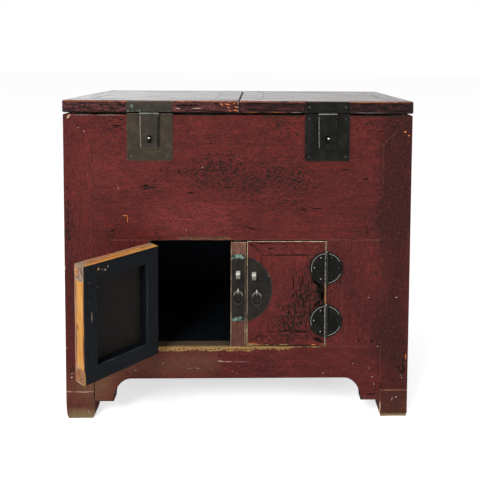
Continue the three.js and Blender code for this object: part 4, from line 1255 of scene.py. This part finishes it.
lidFront = Vector((0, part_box("left_lid_frame")[0].y, 0))
doorEdge = (-17.4, -2.2, 28.6)  # the left door's free edge: its place, and how it slants over its depth
flakeSeats = {  # the body, and the plane that the paths are drawn in
    "front": ("carcass", at(0, 0, 0), right, up),
    "left_lid": ("left_lid", lidFront, right, up),
    "right_lid": ("right_lid", lidFront, right, up),
    "right_door": ("right_door", at(0, 0, 0), right, up),
    "left_door_edge": ("left_door", at(doorEdge[0], 0, 0), Vector((*doorEdge[1:], 0)).normalized(), up),
    "left_door_inside": ("left_door", at(0, doorEdge[2], 0), -right, up),
    "left_door_top": ("left_door", at(0, 0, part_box("right_door_frame")[1].z / mm), right, back),
}
# each stroke is the points of its path, two numbers each, and its width at the end, in millimetres
flakes = {
    "front": {
        "black": [
            # a black strip along the top of the body's front: painted shadow under the lids
            *[(x - 42, 623.3, x + 42, 623.3, 4.2) for x in range(-300, 301, 40)],
            (-253, 600, -231, 599, 3.2), (-250, 596, -240, 596, 2.2), (-238, 612, -230, 612, 2.0),
            (-260, 608, -254, 608, 2.4), (-172, 489, -164, 489, 2.2), (-194, 480, -178, 478, 3.4),
            (-190, 474, -182, 473, 2.6), (-159, 511, -149, 511, 2.0), (-145, 513, -141, 513, 2.0),
            (-103, 465, -88, 465, 3.2), (-34, 476, -6, 476, 2.0), (-203, 411, -191, 411, 1.0),
            (-120, 514, -117, 501, 2.4), (-343, 479, -341, 472, 2.6), (-167, 384, -163, 382, 2.8),
            (-256, 390, -249, 386, 3.4), (234, 596, 241, 596, 1.6), (251, 593, 310, 588, 0.8),
            (224, 573, 227, 573, 2.0), (123, 516, 135, 516, 1.8), (201, 512, 223, 512, 1.8),
            (182, 513, 186, 513, 1.6), (252, 493, 260, 493, 3.4), (103, 469, 107, 469, 2.0),
            (134, 472, 138, 472, 1.8), (148, 475, 158, 475, 1.0), (124, 431, 138, 431, 2.6),
            (145, 433, 171, 433, 1.9), (12, 396.5, 44, 388.5, 2.6), (76, 409, 80, 409, 2.0),
            (120, 400, 124, 400, 2.0), (257, 424, 257, 407, 1.2), (261, 393, 261, 377, 1.2),
            (-291.5, 92, -291.5, 62, 2.6), (-291.5, 70, -291.5, 36, 2.6), (-39, 131, -36, 127, 3.0),
            (-339, 110, -338, 89, 2.0), (-335, 113, -333, 97, 1.8), (329, 107, 330, 100, 3.2),
            (337, 113, 342, 90, 4.0), (334, 101, 340, 80, 3.4), (294, 71, 294, 57, 2.4),
            (248, 163, 247, 157, 3.0), (274, 162, 274, 155, 3.4), (262, 48, 283, 47, 3.0),
            (180.5, 277, 180.5, 238, 1.2)],
        "umber": [(x, 141 + x % 4, x + 5 + x % 3, 141 + x % 4, 2.4) for x in range(-158, 96, 9)],
        "orange": [
            (-233, 419, -221, 418, 1.8), (-222, 418, -222, 404, 1.4), (331.5, 589, 336.5, 589, 4.2),
            (339.5, 582, 343, 582, 3.0), (343.5, 132, 344, 118, 1.6)],
        "pale": [
            (-309, 588, -305, 588, 1.6), (-242, 474, -238, 474, 1.4), (-74, 516, -70, 516, 1.4),
            (-106, 389, -103, 389, 1.4), (-340, 613, -334, 622, 4.4), (320, 250, 324, 250, 1.8),
            (263, 250, 267, 250, 1.4), (234, 112, 237, 112, 1.6), (267, 102, 269, 102, 1.4),
            (274, 83, 277, 84, 1.8), (278, 70, 280, 67, 1.6), (173, 92, 176, 92, 1.2),
            (259, 40, 261, 40, 1.4), (284, 148, 287, 148, 1.6), (323, 40, 327, 41, 2.4),
            (-347, 316, -347, 308, 1.4), (-347, 150, -347, 143, 1.4), (-339, 85, -334, 86, 2.4),
            (-338, 93, -335, 94, 2.4), (-319, 595, -317, 595, 1.2), (-282, 598, -280, 598, 1.0),
            (-42, 118.5, -27, 117, 1.6), (-29, 117, -12, 117, 1.2), (-153, 114, -151, 114, 2.0),
            (-209, 100, -206, 100, 1.6), (-12, 97, -10, 97, 1.4), (-2, 92, 0, 92, 1.4),
            (316, 33, 318, 40, 1.3), (292.6, 33, 292.4, 4, 2.6), (300, 1.8, 344, 1.8, 1.6),
            (-302, 18, -303.5, 13, -299, 7, 1.4), (-328, 55.5, -312, 54.5, -294, 55.5, 1.4),
            (-346, 56, -338, 56, 1.1)],
        "grey": [
            (-334, 620.4, -280, 620.6, 1.3), (-290, 620.6, -224, 620.6, 1.3), (-14, 117, 26, 116, 1.0),
            (-102, 103, -94, 103, 1.3), (-86, 103, -78, 103, 1.3), (332, 87, 341, 87, 1.6),
            (334, 82, 340, 82, 1.3), (-97, 372, -93, 372, 1.4), (-49, 373, -45, 373, 1.4)],
        # the strokes at 620 under the lids' gap are partly painted shade
        "olive": [
            (-70, 373, -20, 373, 2.2), (-124, 373, -70, 373, 1.6), (45, 620.6, 66, 619, 4.0),
            (60, 619, 96, 620, 3.4), (-130, 620.6, -20, 620.6, 2.2), (96, 620, 128, 620.6, 3.0),
            (226, 620, 296, 620, 2.6), (296, 620.6, 336, 620.6, 2.6)],
        "pink": [
            (306, 581, 290, 566, 0.8), (290.5, 566, 290.5, 481, 0.6),
            (-219, 116, -206, 104, -190, 89, 0.8), (-256, 368.5, -145, 368.5, 0.7),
            (212, 149, 212, 172, 0.9), (212, 172, 212, 327, 0.5), (159, 147.5, 288, 147.5, 0.7),
            (292, 149, 292, 33, 0.7)],
    },
    "left_lid": {
        "orange": [
            (-38, 646, -32, 641, 2.6), (-28, 644, -17, 642, 2.4), (-23, 638, -18, 635, 2.0),
            (-9, 638.5, -3, 637, 2.2), (-21, 631, -15, 630, 1.8), (-11, 632, -3, 631, 2.6),
            (-12, 644, -8, 645, 1.6)],
        "pale": [
            (-125, 635, -116, 634, 1.4), (-94, 634.4, -73, 635, 1.6), (-1.6, 649, -1.6, 643, 1.2),
            (-1.6, 640, -1.6, 635, 1.1), (-1.6, 632, -1.6, 627, 1.1)],
        "black": [
            (-336, 633, -297, 637, 1.8), (-277, 641, -255, 642, 1.6), (-256, 635, -246, 635, 2.8),
            (-242, 642, -226, 642, 1.8), (-300, 630, -262, 630, 1.4), (-14, 634.5, -3, 634, 2.0),
            (-130, 641, -70, 641, 3.6), (-60, 630, -20, 628, 2.6), (-52, 645, -36, 646, 1.8),
            (-112, 631, -70, 630, 1.2)],
    },
    "right_lid": {
        "black": [
            (8, 644, 58, 646, 2.6), (70, 640, 124, 645, 2.0), (20, 632, 90, 631, 1.8),
            (226, 636, 240, 634, 2.4), (272, 636, 300, 634, 2.6), (240, 644, 275, 645, 2.6),
            (290, 644, 345, 643, 2.4), (300, 630, 344, 631, 1.8), (230, 629, 262, 630, 1.6)],
        "rust": [(6, 627.6, 44, 627.8, 1.1), (50, 628, 98, 627.6, 1.2)],
        "grey": [(100, 627.6, 126, 627.6, 1.1), (222, 627.4, 300, 627.2, 0.8)],
        "wine": [(12, 638, 60, 637, 2.0), (66, 634, 122, 636, 2.4), (228, 641, 250, 640, 1.6)],
    },
    "right_door": {
        "black": [
            (110, 299, 113, 262, 2.8), (123, 297, 124, 283, 2.5), (131, 298, 130, 273, 2.6),
            (126, 284, 127, 263, 2.8), (142, 275, 143, 263, 2.8), (118, 264, 118, 250, 2.4),
            (112, 261, 111, 247, 2.8), (121, 246, 122, 234, 2.9), (133, 246, 134, 230, 2.6),
            (129, 259, 128, 245, 2.4), (143, 262, 143, 247, 2.2), (114, 239, 114, 230, 2.8),
            (145, 226, 146, 207, 2.8), (102, 226, 103, 214, 2.9), (135, 224, 135, 215, 2.1),
            (124, 212, 124, 202, 2.1), (93, 204, 93, 194, 2.4), (103, 196, 104, 186, 2.3),
            (138, 196, 139, 187, 2.1), (112, 168, 113, 155, 1.4), (147, 292, 164, 274, 8.0),
            (156, 284, 174, 270, 10.0), (163, 276, 171, 243, 12.0), (171, 274, 173, 238, 7.0),
            (152, 229, 169, 246, 8.0), (152, 168, 174, 156, 8.0), (68, 338.5, 101, 338.5, 1.6),
            (102, 338.5, 146, 338.5, 2.2), (56, 179, 80, 179, 1.8), (84, 180, 112, 181, 2.4),
            (108, 180, 148, 180, 1.6), (22, 363, 33, 354, 3.2), (30, 357, 46, 345, 2.0),
            (27, 159, 51, 177, 2.0), (30, 362, 75, 361.6, 2.2), (82, 361, 128, 362.6, 1.0),
            (60, 352, 70, 351, 2.0), (20, 150.6, 175, 150.6, 1.4)],
        "orange": [
            (152, 286, 162, 278, 2.4), (161, 278.6, 170, 277, 1.8), (149, 152, 159, 152, 1.8),
            (176.6, 256, 176.6, 238, 1.5)],
        "rust": [
            (19, 154, 30, 155, 48, 151.4, 3.6), (165, 151.6, 176, 154, 1.6),
            (176.4, 277, 176.2, 254, 1.5)],
        "pink": [(150, 348, 168, 361, 1.0), (99, 221, 101, 220, 1.8)],
    },
    "left_door_edge": {
        "orange": [(6, 344, 9, 358, 5.0), (3.5, 350, 5.5, 364, 2.6), (10, 168, 12, 156, 3.4)],
        "rust": [(4.5, 168, 7, 154, 3.0), (15, 173, 18, 160, 2.6), (12, 352, 15, 364, 3.4)],
        "black": [(19, 364, 26, 352, 2.2), (11, 346, 13, 342, 1.6), (18, 158, 25, 164, 1.2)],
        "pale": [
            (1.7, 336, 6, 339, 11, 339.6, 17, 338, 21, 336, 25, 340, 27.6, 344, 1.8),
            (1.5, 171, 7, 179, 11.3, 182.6, 17, 180, 2.0), (18, 180, 27, 186, 1.6),
            (12.2, 225, 23.1, 218, 1.5), (1.3, 262, 1.3, 332, 1.6), (1.3, 346, 2, 362, 2.4),
            (1.3, 186, 1.3, 254, 1.2), (4, 153, 14, 151, 26, 151, 1.4)],
        "wine": [
            (5, 186, 4.4, 257, 1.7), (6.5, 258, 11.5, 247, 2.6), (27, 190, 27.2, 250, 2.2),
            (27, 248, 27.2, 334, 1.7), (9, 172, 6, 160, 1.0), (15, 179, 13, 163, 20, 154, 0.9),
            (3.4, 300, 3.4, 330, 0.9)],
        "slate": [
            (17, 360, 25, 352, 26, 343, 1.6), (7, 356, 13, 348, 14, 341, 1.2), (5, 344, 8, 341, 1.2),
            (20, 365, 27, 362, 1.6)],
    },
    "left_door_inside": {
        "pale": [
            (61, 350, 64, 351, 2.4), (35, 281, 35.6, 261, 0.8), (48, 356.6, 50, 356.6, 1.6),
            (66.6, 354, 68.6, 356, 2.2)],
        "gold": [(47, 353, 51, 355, 2.6)],
        "grey": [
            (55, 352, 58, 352.6, 1.3), (30, 335, 31.4, 334, 1.2), (45, 323, 46.2, 323, 1.2),
            (28, 299, 29, 298, 1.0)],
        "slate": [(49, 178.6, 98, 178.6, 1.1), (90, 178.6, 149, 178.6, 1.1), (152, 345, 152, 181, 0.9)],
    },
    "left_door_top": {
        "orange": [(-60, 22, -122, 23.5, 3.4), (-118, 20, -172, 21, 3.4), (-30, 24, -62, 24, 2.6)],
        "wine": [
            (-36, 12, -44, 15, -52, 13, 1.8), (-76, 8, -84, 7, 1.4), (-144, 17, -160, 13, 2.4),
            (-60, 18, -120, 16, 0.8)],
        "pale": [(-24, 2, -60, 1.4, 1.4), (-100, 1.6, -170, 1.4, 1.0), (-20, 6, -28, 20, 1.4)],
    },
}


def makeFlakes():
    for place, tones in flakes.items():
        body, base, across, upward = flakeSeats[place]
        for tone, strokes in tones.items():
            bm = newShape()
            for *path, width in strokes:
                addFlake(bm, list(zip(path[::2], path[1::2])), width, across, upward, base)
            bmesh.ops.recalc_face_normals(bm, faces=bm.faces)
            makePiece(f"{place}_{tone}_flakes", bm, [chipTones[tone]], body, slot="red_lacquer", smooth=60)


makeFlakes()
print("flakes made")

# Light and ground

light = {
    "key": {"place": (-1.3, -2.3, 2.2), "size": 1.2, "watts": 70},
    "fill": {"place": (1.9, -1.6, 1.0), "size": 1.5, "watts": 18},
    "aim": (0.0, 0.0, 0.35), "diffuseWorld": 0.42, "frontGlow": 0.06, "backGlow": 1.0, "ground": 0.85,
    "groundGlow": 0.62,
}


def makeLights():
    for name in ("key", "fill"):
        look = light[name]
        data = bpy.data.lights.new(name, "AREA")
        data.size, data.energy = look["size"], look["watts"]
        lamp = bpy.data.objects.new(name, data)
        lamp.location = look["place"]
        lamp.rotation_euler = (Vector(light["aim"]) - lamp.location).to_track_quat("-Z", "Y").to_euler()
        bpy.context.scene.collection.objects.link(lamp)


def makeWorld():
    # White where the camera looks. What the lacquer mirrors is dim in front and bright behind.
    world = bpy.data.worlds.new("studio")
    world.use_nodes = True
    tree = world.node_tree
    ray = addNode(tree, "LightPath", {})
    way = addNode(tree, "SeparateXYZ", {
        "Vector": addNode(tree, "TexCoord", {}).outputs["Generated"]})
    mirrored = addNode(tree, "MapRange", {
        "Value": way.outputs["Y"], "From Min": -0.2, "From Max": 0.3,
        "To Min": light["frontGlow"], "To Max": light["backGlow"]})
    glow = addNode(tree, "Mix", {
        "Factor": ray.outputs["Is Glossy Ray"], "A": light["diffuseWorld"], "B": mirrored}, data_type="FLOAT")
    seen = addNode(tree, "Mix", {
        "Factor": ray.outputs["Is Camera Ray"], "A": glow, "B": 1.0}, data_type="FLOAT")
    sky = tree.nodes["Background"]
    sky.inputs["Color"].default_value = (1, 1, 1, 1)
    connect(tree, sky.inputs["Strength"], seen)
    bpy.context.scene.world = world


def makeGround():
    bm = bmesh.new()
    bmesh.ops.create_grid(bm, x_segments=1, y_segments=1, size=30)
    mesh = bpy.data.meshes.new("ground")
    bm.to_mesh(mesh)
    bm.free()
    ground = bpy.data.objects.new("ground", mesh)
    bpy.context.scene.collection.objects.link(ground)
    material = bpy.data.materials.new("white_ground")  # matt white paper
    material.use_nodes = True
    tree = material.node_tree
    ray = addNode(tree, "LightPath", {})
    glow = addNode(tree, "Math", {0: ray.outputs["Is Camera Ray"], 1: light["groundGlow"]},
                   operation="MULTIPLY")
    for name, value in {"Base Color": [light["ground"]] * 3 + [1], "Roughness": 1.0,
                        "Specular IOR Level": 0.0, "Emission Color": (1, 1, 1, 1),
                        "Emission Strength": glow}.items():
        connect(tree, tree.nodes["Principled BSDF"].inputs[name], value)
    mesh.materials.append(material)


makeLights()
makeWorld()
makeGround()
bpy.context.scene.view_settings.view_transform = "Standard"

print("scene made")
